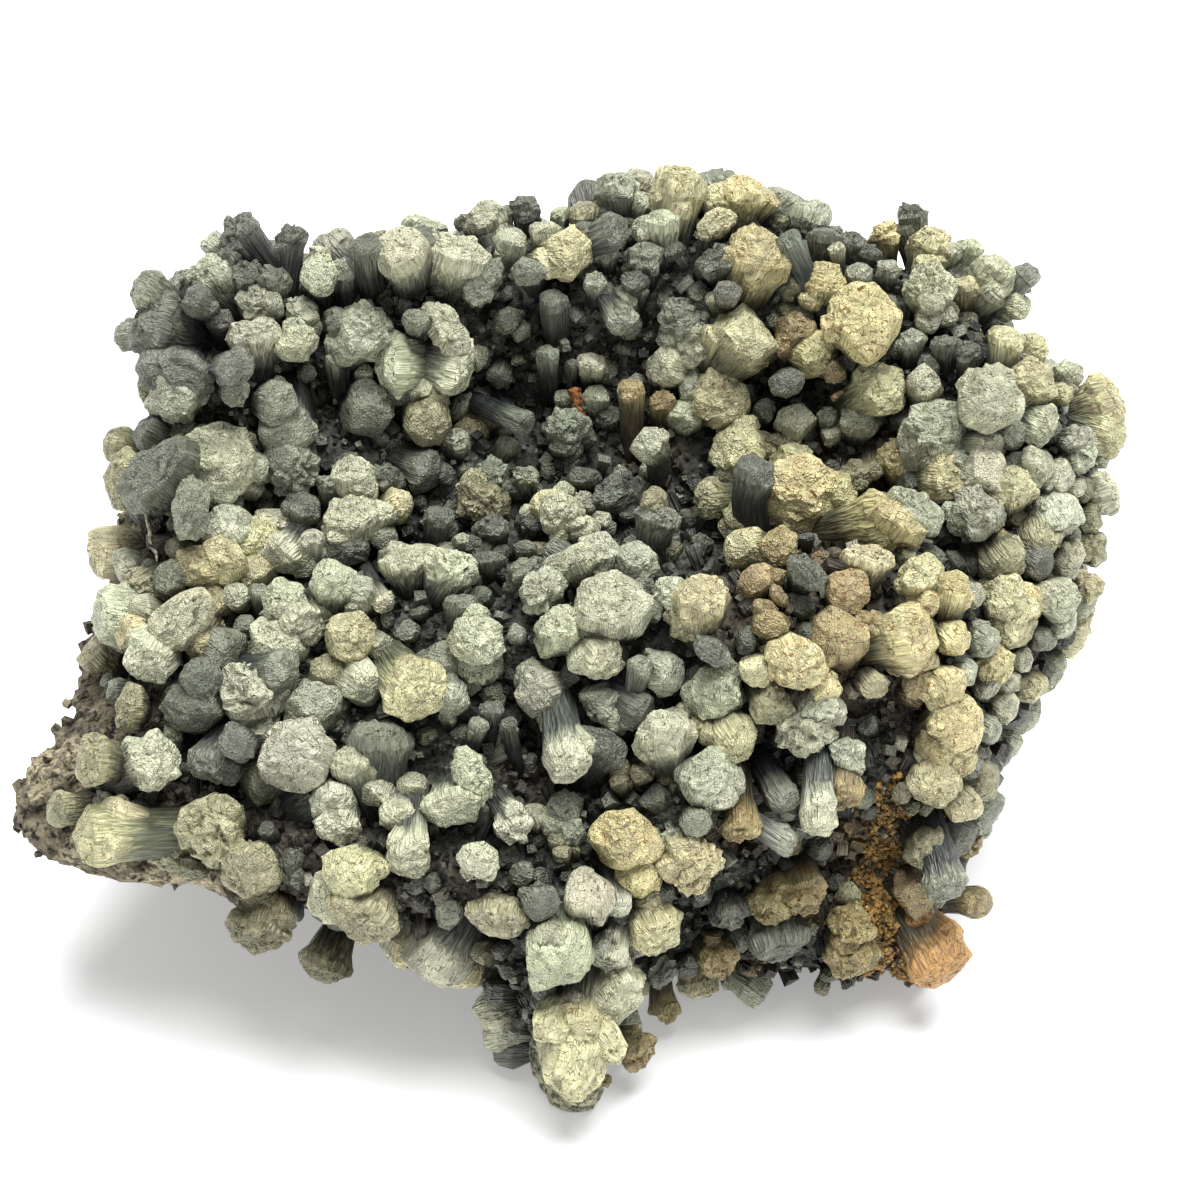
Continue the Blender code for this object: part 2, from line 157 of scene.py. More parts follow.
def make_piece(name, points, faces, smooth=True):
    """A mesh object from points in mm and arrays of faces, triangles and quads in arrays of their own."""
    corners = np.concatenate([part.ravel() for part in faces])
    sizes = np.concatenate([np.full(len(part), part.shape[1]) for part in faces])
    mesh = bpy.data.meshes.new(name)
    mesh.vertices.add(len(points))
    mesh.vertices.foreach_set("co", ((points + PLACE_SHIFT) * MM).astype(np.float32).ravel())
    mesh.loops.add(len(corners))
    mesh.loops.foreach_set("vertex_index", corners.astype(np.int32))
    mesh.polygons.add(len(sizes))
    mesh.polygons.foreach_set("loop_start", (np.cumsum(sizes) - sizes).astype(np.int32))
    mesh.polygons.foreach_set("use_smooth", np.full(len(sizes), smooth))
    mesh.update(calc_edges=True)
    piece = bpy.data.objects.new(name, mesh)
    bpy.context.scene.collection.objects.link(piece)
    return piece


def give(piece, name, values):
    """Stores one number, vector or colour a point as a named attribute."""
    values = np.asarray(values, np.float32)
    if values.ndim == 1:
        piece.data.attributes.new(name, "FLOAT", "POINT").data.foreach_set("value", values)
    elif name == "own":
        piece.data.attributes.new(name, "FLOAT_VECTOR", "POINT").data.foreach_set("vector", values.ravel())
    else:
        values = np.concatenate([values, np.ones((len(values), 1), np.float32)], axis=1)
        piece.data.attributes.new(name, "FLOAT_COLOR", "POINT").data.foreach_set("color", values.ravel())


def linear(red, green, blue):
    """A display colour of 0 to 255 as linear light."""
    value = np.array((red, green, blue)) / 255
    return np.where(value < 0.04045, value / 12.92, ((value + 0.055) / 1.055) ** 2.4)


def roughen(points, away, lumps):
    """Adds lumps (height, size, seed, ridged) to a distance, near the surface only.

    A ridged one is 1 - 2 |noise|, which has sharp crests in place of round ones.
    """
    near = np.abs(away) < LUMP_REACH
    for height, size, seed, ridged in lumps:
        noise = lattice_noise(points[near], size, seed)
        away[near] -= height * (1 - 2 * np.abs(noise) if ridged else noise)
    return away


def rock_distance(points):
    """Distance to the broken rock: its limbs, ledges and crests of 13 to 1.2 mm, and the flat foot."""
    away = limb_distance(points, ROCK_LIMBS) + ROCK_DRAWN_IN
    away = roughen(points * FLATTENED, away, ROCK_LUMPS)
    return np.maximum(away, TABLE_GAP - points[..., 2])


def add_node(tree, kind, inputs=None, **settings):
    """A shader node with its settings, and a value or a link for each named input."""
    made = tree.nodes.new(kind)
    for key, value in settings.items():
        setattr(made, key, value)
    for key, value in (inputs or {}).items():
        if isinstance(value, bpy.types.NodeSocket):
            tree.links.new(value, made.inputs[key])
        else:
            made.inputs[key].default_value = value
    return made


def attribute(tree, name, output):
    """One output of the node that reads a point attribute."""
    return add_node(tree, "ShaderNodeAttribute", attribute_name=name).outputs[output]


def blend_colours(tree, factor, first, second, kind="MIX"):
    """The colour output of a mix of two colours."""
    inputs = {0: factor, 6: first, 7: second}
    return add_node(tree, "ShaderNodeMix", inputs, data_type="RGBA", blend_type=kind).outputs[2]


def calculate(tree, operation, *values):
    """The output of a maths node."""
    inputs = dict(enumerate(values))
    return add_node(tree, "ShaderNodeMath", inputs, operation=operation).outputs[0]


def ramp(tree, value, start, end, low=0.0, high=1.0):
    """A value that goes from low to high, and stays there, as another goes from start to end."""
    inputs = {"Value": value, 1: start, 2: end, 3: low, 4: high}
    return add_node(tree, "ShaderNodeMapRange", inputs).outputs[0]


def group_tree(name, inputs, outputs):
    """An empty node group with named float or vector sockets; returns it with its two end nodes."""
    tree = bpy.data.node_groups.new(name, "ShaderNodeTree")
    for socket, kind in inputs:
        tree.interface.new_socket(socket, in_out="INPUT", socket_type=kind)
    for socket, kind in outputs:
        tree.interface.new_socket(socket, in_out="OUTPUT", socket_type=kind)
    return tree, tree.nodes.new("NodeGroupInput"), tree.nodes.new("NodeGroupOutput")


def grit_group():
    """Fine grit: bright and dark specks, pits and a height, from a noise and small cells."""
    tree, start, end = group_tree(
        "grit",
        [("Vector", "NodeSocketVector"), ("Scale", "NodeSocketFloat")],
        [(name, "NodeSocketFloat") for name in ("Tone", "Pits", "Height")],
    )
    place, scale = start.outputs["Vector"], start.outputs["Scale"]
    inputs = {"Vector": place, "Scale": scale, "Detail": 2.0, "Roughness": 0.8}
    broad = add_node(tree, "ShaderNodeTexNoise", inputs).outputs[0]
    inputs = {"Vector": place, "Scale": calculate(tree, "MULTIPLY", scale, 1.7)}
    cells = add_node(tree, "ShaderNodeTexVoronoi", inputs)
    height = calculate(tree, "SUBTRACT", broad, calculate(tree, "MULTIPLY", cells.outputs["Distance"], 0.5))
    tree.links.new(cells.outputs["Color"], end.inputs["Tone"])
    tree.links.new(ramp(tree, broad, 0.50, 0.34), end.inputs["Pits"])
    tree.links.new(height, end.inputs["Height"])
    return tree


GRIT = grit_group()
PIT_PAINTED_SHADE = (0.012, 0.010, 0.008, 1)


def new_material(name):
    """A material with a Principled shader; returns it with its tree and shader."""
    material = bpy.data.materials.new(name)
    material.use_nodes = True
    return material, material.node_tree, material.node_tree.nodes["Principled BSDF"]


def earthy_material(name, grit_scale, depth):
    """Dull, gritty ground whose colour is the points' own tint with specks, and near-black pits that are
    painted shade.
    """
    material, tree, shader = new_material(name)
    place = add_node(tree, "ShaderNodeTexCoord").outputs["Object"]
    tint = attribute(tree, "tint", "Color")
    inputs = {"Vector": place, "Scale": grit_scale}
    grit = add_node(tree, "ShaderNodeGroup", inputs, node_tree=GRIT)
    light = ramp(tree, grit.outputs["Tone"], 0.0, 1.0, 0.30, 2.2)
    colour = blend_colours(tree, 1.0, tint, light, "MULTIPLY")
    # Painted shade: the pits are coloured near black
    colour = blend_colours(tree, grit.outputs["Pits"], colour, PIT_PAINTED_SHADE)
    inputs = {"Height": grit.outputs["Height"], "Strength": 0.9, "Distance": depth}
    bump = add_node(tree, "ShaderNodeBump", inputs)
    tree.links.new(colour, shader.inputs["Base Color"])
    tree.links.new(bump.outputs[0], shader.inputs["Normal"])
    shader.inputs["Roughness"].default_value = 0.85
    return material


def mixed(first, second, share):
    """From the first to the second, as a share goes from 0 to 1."""
    return first * (1 - share) + second * share


def rock_tints(points):
    """Brown-grey rock with greyer, paler and a few rusty patches."""
    patch = np.clip(0.5 + 0.7 * lattice_noise(points, 2.6, 7), 0, 1)[:, None]
    rust = np.clip(lattice_noise(points, 4.0, 8), 0, 1)[:, None]
    broad = 1 + 0.45 * lattice_noise(points, 9.0, 14)[:, None]
    colour = mixed(linear(80, 74, 60), linear(150, 140, 114), patch) * broad
    return mixed(colour, linear(112, 94, 64), 0.3 * rust)


def fit(piece, material, node):
    """Gives a piece its material, and has it take part of the place of a CAD node."""
    piece.data.materials.append(material)
    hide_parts(node)
    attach(piece, "root")


ROCK_MATERIAL = earthy_material("porous_rock", 800.0, 0.0006)
grid = sample_grid((-70, -38, -1), (20, 48, 58), ROCK_STEP)
rock_points, rock_faces = level_surface(rock_distance(grid), grid[0, 0, 0], ROCK_STEP)
rock = make_piece("host_rock", rock_points, [rock_faces])
give(rock, "tint", rock_tints(rock_points))
fit(rock, ROCK_MATERIAL, "matrix")

# The crust's ground. Between the bundles the rock is coated with a druse of tiny dark crystals,
# all grown together, its dark colour partly painted shade between the bundles. It is the surface
# of the crust's own limbs, drawn in to leave the bundles standing free, lumpy, and with the rock
# taken away where the two meet.
SINK = 1.8  # how far the ground lies under the body that the bundles stand on
CRUST_STEP = 0.95
CRUST_LUMPS = ((0.9, 5.0, 11, False), (0.7, 2.2, 12, True))
ROCK_MARGIN = 0.3  # how far the druse keeps off the rock
CRUST_LIMBS = [
    ((-45, 10, 45, 7.0), (-41, 26, 58, 8.5)),
    ((-41, 26, 58, 8.5), (-22, 30, 59, 9.0)),
    ((-22, 30, 59, 9.0), (0, 33, 60, 9.5)),
    ((0, 33, 60, 9.5), (16, 34, 62, 10)),
    ((16, 34, 62, 10), (38, 27, 57, 10)),
    ((38, 27, 57, 10), (50, 16, 49, 9.5)),
    ((50, 16, 49, 9.5), (48, 4, 38, 9)),
    ((48, 4, 38, 9), (41, -6, 24, 9)),
    ((-45, 10, 45, 7.0), (-46, -8, 35, 6.5)),
    ((-34, 8, 42, 6.0), (-34, -8, 35, 6.5)),
    ((-46, -8, 35, 6.5), (-53, -19, 28, 4.5)),
    ((-53, -19, 28, 4.5), (-34, -25, 25, 5)),
    ((-34, -27, 24, 5), (-14, -28, 23, 7)),
    ((-14, -28, 23, 7), (-3, -30, 20, 8)),
    ((-3, -30, 20, 8), (-1, -41, 2.5, 5.0)),
    ((-38, -15, 31, 6), (-12, -17, 31, 8)),
    ((-26, -4, 37, 9), (0, -6, 37, 11)),
    ((0, -6, 37, 11), (22, -8, 38, 12)),
    ((22, -8, 38, 12), (35, -3, 38, 13)),
    ((34, -12, 28, 11), (33, -12, 12, 9)),
    ((-3, -22, 24, 8), (12, -20, 25, 10)),
    ((12, -20, 25, 10), (34, -12, 22, 9)),
    ((8, -22, 13, 8), (32, -21, 10, 8)),
    ((33, -12, 12, 9), (40, -21, 4, 4.5)),
    ((-32, 18, 46, 9), (-4, 20, 41, 10)),
    ((-4, 20, 41, 10), (30, 20, 44, 11)),
    ((-26, 8, 37, 10), (26, 8, 36, 13)),
    ((10, 28, 46, 12), (30, 26, 44, 13)),
    ((26, 12, 28, 16), (24, 20, 24, 16)),
    ((30, 22, 30, 14), (26, 20, 8, 11)),
    ((32, -6, 20, 9), (30, 12, 20, 11)),
    ((-22, 28, 50, 8), (8, 28, 50, 8)),
    ((38, 16, 42, 9), (43, 2, 33, 8)),
]
VIEW_HEIGHT = math.radians(38.0)
VIEW_DISTANCE = 400.0
VIEW_MIDDLE = (2.5, 32.0)  # the point looked at, across and up the picture plane through the zero
ACROSS = np.array((1.0, 0.0, 0.0))
UP = np.array((0.0, math.sin(VIEW_HEIGHT), math.cos(VIEW_HEIGHT)))
TOWARDS_EYE = np.array((0.0, -math.cos(VIEW_HEIGHT), math.sin(VIEW_HEIGHT)))
EYE = VIEW_MIDDLE[0] * ACROSS + VIEW_MIDDLE[1] * UP + VIEW_DISTANCE * TOWARDS_EYE


def picture_place(points):
    """Where points appear on the picture plane: across and up in mm, and their depth over the view's."""
    sight = points - EYE
    depth = -(sight @ TOWARDS_EYE) / VIEW_DISTANCE
    return sight @ ACROSS / depth + EYE @ ACROSS, sight @ UP / depth + EYE @ UP, depth


def near_spots(points, spots):
    """How near points appear to any of some spots (across, up, radius) of the picture.

    It is 1 within half the radius, and falls to 0 at one and a half times it.
    """
    across, up, _ = picture_place(points)
    found = np.zeros(len(points))
    for spot_across, spot_up, radius in spots:
        away = np.hypot(across - spot_across, up - spot_up) / radius
        found = np.maximum(found, np.clip(1.5 - away, 0, 1))
    return found


def crust_distance(points):
    """Distance to the druse: the crust's limbs drawn in, its lumps, and the rock and table left out."""
    away = roughen(points, limb_distance(points, CRUST_LIMBS) + SINK, CRUST_LUMPS)
    away = np.maximum(away, ROCK_MARGIN - rock_distance(points))
    return np.maximum(away, TABLE_GAP - points[..., 2])


PALE_SPOTS = [(-1, -33, 5), (-1, -28, 5), (-1, -24, 5)]
SAND_SPOTS = [(39, 6, 3.5), (40, 0, 4.5), (40, -5, 6), (41, -11, 6), (37, -9, 5)]
OCHRE_SPOTS = [(41, -3, 8), (38, -10, 5), (24, -10, 3), (27, -6, 3), (34, 3, 3), (20, 4, 3), (43, -12, 5)]
RUST_SPOTS = [(28, 36, 9), (24, 28, 7), (36, 24, 7), (33, 44, 8), (42, 22, 6), (45, 12, 6), (9, 50, 4)]
EARTH_SPOTS = [(-38, -3, 12), (-50, 6, 14), (-60, 14, 12), (-18, -8, 8), (-57, 42, 9), (-8, 12, 5)]
STAINS = (
    (PALE_SPOTS, linear(176, 172, 140)),
    (OCHRE_SPOTS, linear(122, 100, 62)),
    (RUST_SPOTS, linear(74, 62, 46)),
    (EARTH_SPOTS, linear(84, 74, 62)),
)


def druse_tints(points):
    """Dark grey-green druse, partly its own colour and partly painted shade between the bundles; pale,
    ochre and rusty in places, and brown where the rock is near.
    """
    shade = 0.5 + 0.5 * lattice_noise(points, 4.0, 13)[:, None]
    colour = mixed(linear(38, 41, 37), linear(80, 84, 73), shade)
    for spots, stain in STAINS:
        colour = mixed(colour, stain, 0.7 * near_spots(points, spots)[:, None])
    return colour


DRUSE_MATERIAL = earthy_material("dark_druse", 950.0, 0.0005)
grid = sample_grid((-64, -50, -1), (64, 48, 74), CRUST_STEP)
druse_points, druse_faces = level_surface(crust_distance(grid), grid[0, 0, 0], CRUST_STEP)
druse = make_piece("druse_ground", druse_points, [druse_faces])
give(druse, "tint", druse_tints(druse_points))
fit(druse, DRUSE_MATERIAL, "prehnite")

# The crystal bundles. Each grew outwards from the crust as a sheaf of needles: a dark fibrous
# neck that spreads into a pale rounded cap of small stepped blocks. Those that the picture shows
# are placed one by one, and smaller lobes stand beside their caps.

# Each row is a bundle: where its cap is on the picture plane (across and up, mm), its width, its
# length, its heading (degrees clockwise from up), how far it leans out of the picture (degrees),
# and two letters for its tone and its kind.
BUNDLES = """
-42.5,78.5,4.5,9,325,20 dn; -36,77.5,3.4,8,8,15 dn; -44.5,74.5,3.5,5,330,25 dn;
-46.2,76.8,2.5,4,310,10 wk;
-46.5,73,4.5,6,320,25 en; -49.8,72,3,4,330,20 Gn; -54.5,71,5,11,300,15 Gf; -48,69.5,3.5,7,290,30 dc;
-41.5,72.5,4.5,5,0,50 dn; -38.3,72,4,5,20,40 dn; -53.5,66.5,8,10,290,35 df; -57,65,3.5,5,265,5 Gc;
-50.5,60,9,9,200,60 df; -54,57.5,4.5,5,250,35 tf; -50.5,57,6,6,190,40 ec; -41,65.5,6,6,0,40 gf;
-35.3,64,4.5,7,155,40 gc; -34.5,68,4,4,20,30 wm; -40,69,5,4,0,40 en; -43,61,4,14,115,20 ds;
-37.5,56.5,5,8,120,30 Gc; -43,58,3.5,8,120,25 Gc; -36.8,52.5,6,6,180,35 Gk; -41.3,52,2,2,0,50 gk;
-58,51.5,4,5,290,20 tc; -54,53,4,5,300,30 dc; -50,51.5,3,3,0,50 tn; -45,67,3,3,0,50 dn;
-45,50,8.5,7,20,60 gm;
-32.7,72.5,4.5,8,150,35 gc; -32.3,75,2.5,3,60,20 gc; -29.8,73.2,3.5,4,350,30 en;
-26.8,76,3.8,10,0,15 ds;
-22.5,75.5,6,10,310,20 gc; -20,77,4,8,340,20 ds; -15.5,75.5,8,9,20,40 gf; -12,71.5,6,6,160,40 Gf;
-12,79.8,5,5,345,20 gm; -14.7,79.3,2,3,330,20 Gn; -8.5,77,3.5,5,20,40 gk; -7,81,3.5,4,350,15 dn;
-9.5,80.5,2.5,3,0,20 Gn; -6.5,73,3.4,12,175,15 Gs; -4.5,78,3.5,4,350,25 gc; -1.2,75.2,5.5,6,90,60 Ym;
-4.2,74.3,2.5,3,90,50 gk; 0.3,80.5,3,4,0,20 tc; -2.5,80.3,2,3,0,20 gk; 1.3,78,3,5,70,30 ds;
-16.5,66,7,7,25,20 gf; -23.5,61.5,7,6,275,25 gf; -15,60.8,6.5,7,105,25 gf; -19.5,58.2,5.5,5,185,30 gf;
-20.5,67,3,6,350,30 Gs; -26.5,65.8,6,5,60,40 en; -30.3,64.3,2.5,2.5,0,50 wk; -30.8,62.3,1.8,2,0,50 wk;
-30,67,3.5,4,0,40 Gn; -27,60.5,1.8,2,0,50 wk; -26.5,55.5,5.5,5,150,60 Gk; -22.8,57.5,3,4,180,40 ds;
-18.8,54,5,6,150,50 tc; -10.5,55.5,2.5,3,30,45 gc; -4,62.8,2.5,4.5,0,40 Gk; -3.2,69.3,3,4,0,45 dk;
1.3,61.5,3,3,0,60 gk; 1.8,57.3,3,3,0,60 gk; -2.2,57.4,1.8,2,0,60 gk; -1,61.5,1.5,3,0,40 dk;
-7,54,3,7,125,20 ds; -1.5,53.5,5,5,0,60 Gn; 2,71.8,2.5,3,0,50 en;
4.3,84,4.5,7,350,20 ec; 7.7,84.5,3.5,4,30,20 gc; 5,82,2.5,3,0,40 gk; 8.5,81.5,3,3,20,40 gk;
12.8,84,5.5,8,10,20 Ym; 8,78.5,3.5,4,250,40 gc; 10.5,79.5,4,5,0,35 gs; 17.5,82.5,4,4,350,25 Yc;
20.5,83,5,6,10,20 yc; 23.3,82,3,4,40,20 yc; 17,79,5,5,200,40 Yf; 26,77,3,8,330,25 ds;
22.7,75,7,8,25,45 ym;
17.3,74.5,4.5,5,350,40 dn; 16.8,69.8,2.2,2.5,340,50 gc; 18.5,70.5,3,8,10,25 ds; 8,75,4,4,0,50 Gn;
4.5,78.5,4,7,70,25 ds; 3.5,75.5,2.5,3,0,50 en; 6.8,72,3,4,0,50 dn; 5.2,69.8,3,2.5,315,55 gk;
5.5,66.5,3.5,6,150,40 Gs; 13,67,5.5,4,0,50 Gn; 14.5,64.5,4.5,5,45,40 gn; 10.8,61.5,5,5,290,35 gc;
20.8,65,7,8,40,35 Yc; 22.2,62.8,2.5,3,0,60 yc; 27,65.8,4.5,4,0,50 bn; 29.5,62.5,5,5,120,55 ym;
27.8,61.5,2.5,3,200,50 yc; 32,60,2.5,4,150,40 bs; 30.5,72,5,5,20,50 ym; 27.2,72,2.8,3,0,50 tk;
26,70.8,1.8,2,0,50 tk; 30.5,77.5,4,5,10,25 df; 32,76,2,3.5,350,30 gc; 34.3,76.8,3,4,10,30 dn;
36,75.5,2.5,3,20,30 dn; 38.2,77.7,3.5,3.5,0,35 yn; 35.5,67.5,8.3,12,15,40 ym; 38.5,73.5,2.5,3,0,40 ek;
35,72.8,3,3,350,35 ec; 18,57.5,6.5,6,70,50 Ym; 13.8,58.8,3.5,4,300,45 gk; 13.3,55.3,4,3.5,20,60 gk;
10.3,56.8,3.2,4,0,50 bn; 6.5,58.5,3,6,0,30 bs; 26,59,3.5,9,115,20 ds; 27,54.5,4,4,0,60 gk;
23,56,2.5,3,0,50 dn; 31,55,2.5,3,0,50 Gn; 31.3,52.8,2,2,0,55 gk; 35,54.8,4.5,4,0,60 em;
38,58.5,6,6,60,45 Ym; 8.5,51.5,4,11,250,20 gc; 19.5,51,6.5,5,300,50 Ym; 22.5,52.5,2,2,0,50 tk;
24.5,52,2,2,20,50 tk; 26.3,51.3,1.8,2,0,50 tk;
41.5,80,3.8,5,350,20 dn; 44,77,4.5,4,20,45 Ym; 46.8,75.8,2.5,3,30,30 gc; 49,76,2.5,3,20,25 gc;
52,73,5,8,35,25 gc; 56,72.8,3,6,45,20 Gc; 48,71.2,3,3.2,0,50 pk; 43.5,71,5.5,6,350,50 gn;
43.5,73.5,4,4,0,45 Yn; 43.5,67,3.2,3,180,50 gc; 46,67.5,2.5,3,150,45 gk; 54.7,69,3.5,4,90,35 gc;
53.2,65,4,7,5,25 Ys; 41.5,64.5,3,3,0,50 en; 45.8,64,3.5,4,0,40 df; 48.5,63,3,4,0,40 dn;
56.5,63.5,4,4,30,35 Yc; 56.8,59.5,5.5,6,60,50 Ym; 61.5,60.5,3.3,3.5,50,30 gc; 60.5,57.8,2.5,3,80,40 Yc;
66,57,6.5,8,70,20 Yf; 66,52.5,5,5,110,25 Yc; 51.5,57,7,10,100,25 gc; 43,59,3.8,3.5,0,60 gk;
45,53.5,8,5,0,60 en; 54,53,4,3,100,45 ec; 51,51,4,4,100,50 gc; 58,53.5,5,5,120,50 gf;
62.5,52,3.5,4,90,40 en;
-40.3,48.5,3.5,4,90,50 gc; -48.5,43.5,7,12,130,30 Gf; -53,48,10,12,310,35 df; -57.5,47,7,10,250,20 tf;
-55,33,5,4,240,40 tn; -51.5,35,4,5,240,40 Gc; -36,48,6,5,170,50 Gn; -35,43.5,4.5,4,0,50 dc;
-44.5,41,5.5,5,330,40 wm; -41,40,5.5,5,10,45 Ym; -38,42,5,4,20,35 gf; -44,37,5,6,0,55 pk;
-48,36,5,5,250,50 pm; -40.5,36,4,4,0,50 Yk; -46,32,4,3,230,50 pk; -43,32.5,3.5,4,180,50 gk;
-40,33,2.5,4,0,40 Gs; -37.5,37.5,4.5,5,200,30 gs; -34,37.5,4.5,3.5,150,40 gc; -33.5,40,2.5,5,0,30 wk;
-36.8,32,5,5,0,60 gm; -34.5,29,5,5,140,50 gm; -37.5,27,6.5,5,0,60 gm; -42,29,2.5,2.5,0,50 Gk;
-58.5,30,6.5,7,280,20 gc; -56.5,28,4,5,230,30 pc; -50,29.5,9,9,215,40 gf; -53.5,24.5,5.5,5.5,200,40 gm;
-48,27,4,4,200,50 pm; -44.5,25.5,5,4.5,120,50 Gk; -56.5,18.5,5.5,6,250,35 tf; -41,20.5,8,6,0,50 wn;
-45,19.5,3,3,270,45 wc; -47,22,5,7,90,25 ds; -48.5,18.5,6,6,200,45 dc; -37,23,5,6,90,30 Gs;
-28.2,47.5,5,5.5,0,45 gm; -28.5,42,6,6,0,45 gm; -25,43,3.5,4.5,20,45 gk; -22.5,44,3.5,4,60,40 Yk;
-31.5,46.5,2.5,4,0,40 Gn; -24.5,47.5,4,4,0,50 dn; -29.5,38.5,5,3.5,190,40 Gc; -24.5,39.5,3,3,180,40 Gc;
-19,48,4.5,4,110,40 ds; -15.5,52,3,3,0,50 en; -12.5,44.5,5.5,5,200,50 tn; -11,48,4,4,20,50 Gn;
-6.8,47.5,3,3,0,50 en; -6.5,43,2,2,0,50 wk; -6.8,41.2,1,1,0,60 wk; -2.5,43,5,7,340,50 gm;
-2,45.5,2.5,2.5,0,60 gk; 0.5,47.5,4,4,0,50 df; 0.5,44,3,3,30,50 en; 0.3,41,3.5,4,340,50 gk;
2.8,42,2.2,2.5,40,50 gk; -17.5,42.5,3.5,5,10,40 ds; -14.8,39.5,2,2.5,10,40 gc; -13.3,39,1.8,2,150,50 Gk;
-11,41,4,4,0,50 dn; -6.8,38.5,2.5,2.5,0,50 Gk; -11.5,37,4,4,350,40 df; -22,37,5.5,6,350,30 gf;
-19.2,38,4,5,10,35 gf; -15.5,36,5,6,30,40 gn; -14.8,31.5,4,4.5,10,35 Gf; -27.5,33,4,4,0,45 ek;
-24.5,31.5,2.5,3,150,45 gc; -30.8,34.5,5,6.5,10,40 gc; -32.2,31,3,2.5,0,50 gk;
-28.7,27.5,5.5,6.5,0,60 Ym;
-24.8,26,3,3,120,45 ek; -13,27,6,7,190,50 gm; -12.5,24,5,4,170,45 gm; -17.5,24.5,4.5,4,0,50 Gk;
-8,28,2,4,0,20 Gs; -7,35.5,4,4,340,50 Gn; -5,33,5,5,200,50 en; -1,37,6,6,340,45 gf;
-2.8,28.5,5.5,6,330,30 gc;
-5.5,20.5,5.5,5,250,50 ec; -27,21.5,5,5,120,55 gk; -20.5,20.5,6.5,9,140,45 Ym; -16,19.5,4,4.5,150,45 ec;
-31.5,23.5,4,4,0,50 tk; -33.5,19,6.5,4,0,60 em; -3.8,18,3,3,0,50 gk; -11,18.5,2.5,4,10,40 ds;
-9,16.5,2,4,350,40 ds; -12.5,16.5,2.2,4,20,40 Gs;
3.5,31.5,7.5,9,0,60 gm; 2.5,38,5,5,20,50 gm; 7.2,37,4.5,5,20,45 em; 8,33.5,3,3,150,45 Gn;
9,31,3,3,150,50 Gk; 11,33,4,4,330,45 wn; 15.3,32.5,6,8,0,45 Ym; 13.5,29.5,4.5,4,220,45 Ym;
16.3,25.5,4.5,8,180,20 df; 17,20,6.3,5,180,60 gm; 22,23,3.5,5.5,150,40 Yk; 24,18.5,4.5,5,150,45 tm;
2.8,24.3,5,6,140,50 gm; 7.5,24,2.8,5,10,35 Gc; 11,23,4.5,4,90,50 ek; 5,45.5,5.5,5,340,50 dn;
10,42.5,5,8,80,20 Gf; 9,44.8,3,9,280,20 ts; 20.3,42.7,4.3,4.3,0,65 Ym; 22,48,4.5,11,50,20 ds;
16,44.5,4,5,250,40 tn; 18,48,2.5,3,300,45 tk; 27.5,45.5,8.5,8,60,60 ym; 32.5,45.5,4.5,5,80,40 ym;
24,43.5,4,4,230,50 ym; 27,50,4,4,20,35 Ym; 20.5,38.5,4.5,4,210,45 Yk; 24.8,38.5,4.5,4,180,50 bm;
28.5,35.5,5,8,165,25 df; 22,34.5,4,3.5,240,50 bk; 24.5,35,2,2,0,50 bk; 25,32.5,3,3,120,40 bf;
23,31,2.5,2.5,0,50 bk; 23.8,28.8,4,2.8,180,45 bk; 27,24,6,8,170,40 ym; 31,20.5,3.5,4,150,45 yk;
29.5,18,6,4,180,50 wm; 36,37.5,6,7,10,35 Yf; 38,42,7,7,100,35 yf; 32,28,6.5,4,0,50 bk;
36.5,29,4,4,0,50 bn;
34.5,48,3.5,3.5,0,50 tn; 36.7,48,2.3,3,180,50 tk; 33.5,33,5,5,180,30 bs; 37,21,3,5,170,30 ts;
8.5,48.5,2,2,0,50 wk;
40,50,5,4,340,45 yn; 44.5,50.3,5,4,20,45 en; 48,48.5,4,4,80,40 en; 46.5,47,5.5,5,100,45 Ym;
41.5,47,3,3,0,50 dk; 42,43.5,7,9,105,30 ef; 40,42,7,8,105,35 yf; 49.8,43,6,7,110,50 en;
52.8,39.5,2,2,120,40 yk; 51,48,5,6,100,40 gk; 54,46.3,5,5,0,55 Ym; 57.7,44.2,1.6,3.5,0,40 wn;
57.3,49,4,4,60,45 gc; 60.3,47.5,3.5,4,90,40 gc; 62,46,2.2,2.5,90,40 gk; 63,50.5,3.5,4,60,35 en;
65.3,49.7,2.3,3,90,30 gc; 66,45.5,5,6,70,25 gf; 64,42,3.5,4,90,35 tc; 59.5,42,5.5,5,150,40 ec;
57.5,39.5,5,4,180,40 tc; 61.5,39.8,2.8,3,100,40 Gc; 64.5,38.5,4,3.5,100,30 tn;
61.3,36.8,4.5,4,120,40 gc;
57.5,37,4,4,120,45 dc; 53,36.5,5,4,150,45 tc; 64,33.5,3.2,3.5,110,30 pn; 60.2,32,5,5.5,110,45 gm;
53.5,32,6,5,300,50 Ym; 56,31.5,4.5,4,100,45 ym; 54.5,28.5,5,4,130,45 Yc; 58,27,3,3.5,120,40 Gc;
60.5,29,3.5,4,120,35 gc; 49.3,32.5,3,3.5,90,45 ec; 50.7,26.7,3.5,4,120,45 ec; 52,23.8,4.5,4,120,45 ym;
55.5,24.5,2.8,3,110,40 gc; 53.7,21.5,2.8,3,130,45 gc; 56.6,21,3.8,3.5,120,35 Yc; 51,21,3,3,130,45 gc;
53.5,18.5,3.5,4,130,40 gm; 46.8,33.5,4,6,10,40 ym; 43,35.5,5,5,20,40 Yc; 43.5,31.5,3.5,4,150,45 yc;
42,27.3,7,7,80,35 ys; 47,27,3.5,5,170,40 yk; 41.5,24,6,4,180,40 pf; 42.3,21.3,3.5,4,170,40 bc;
45.8,21,5,6,120,50 ym; 48.5,23,3,4,90,45 es; 47.5,17,6.5,7,60,45 ym; 46.5,13,6.5,5,110,45 ym;
44.3,9,5.5,4.5,180,50 pm; 49,11,3,4,130,30 dn; 51.5,15.5,3,4,120,35 es; 48,6,4,5,150,30 Yc;
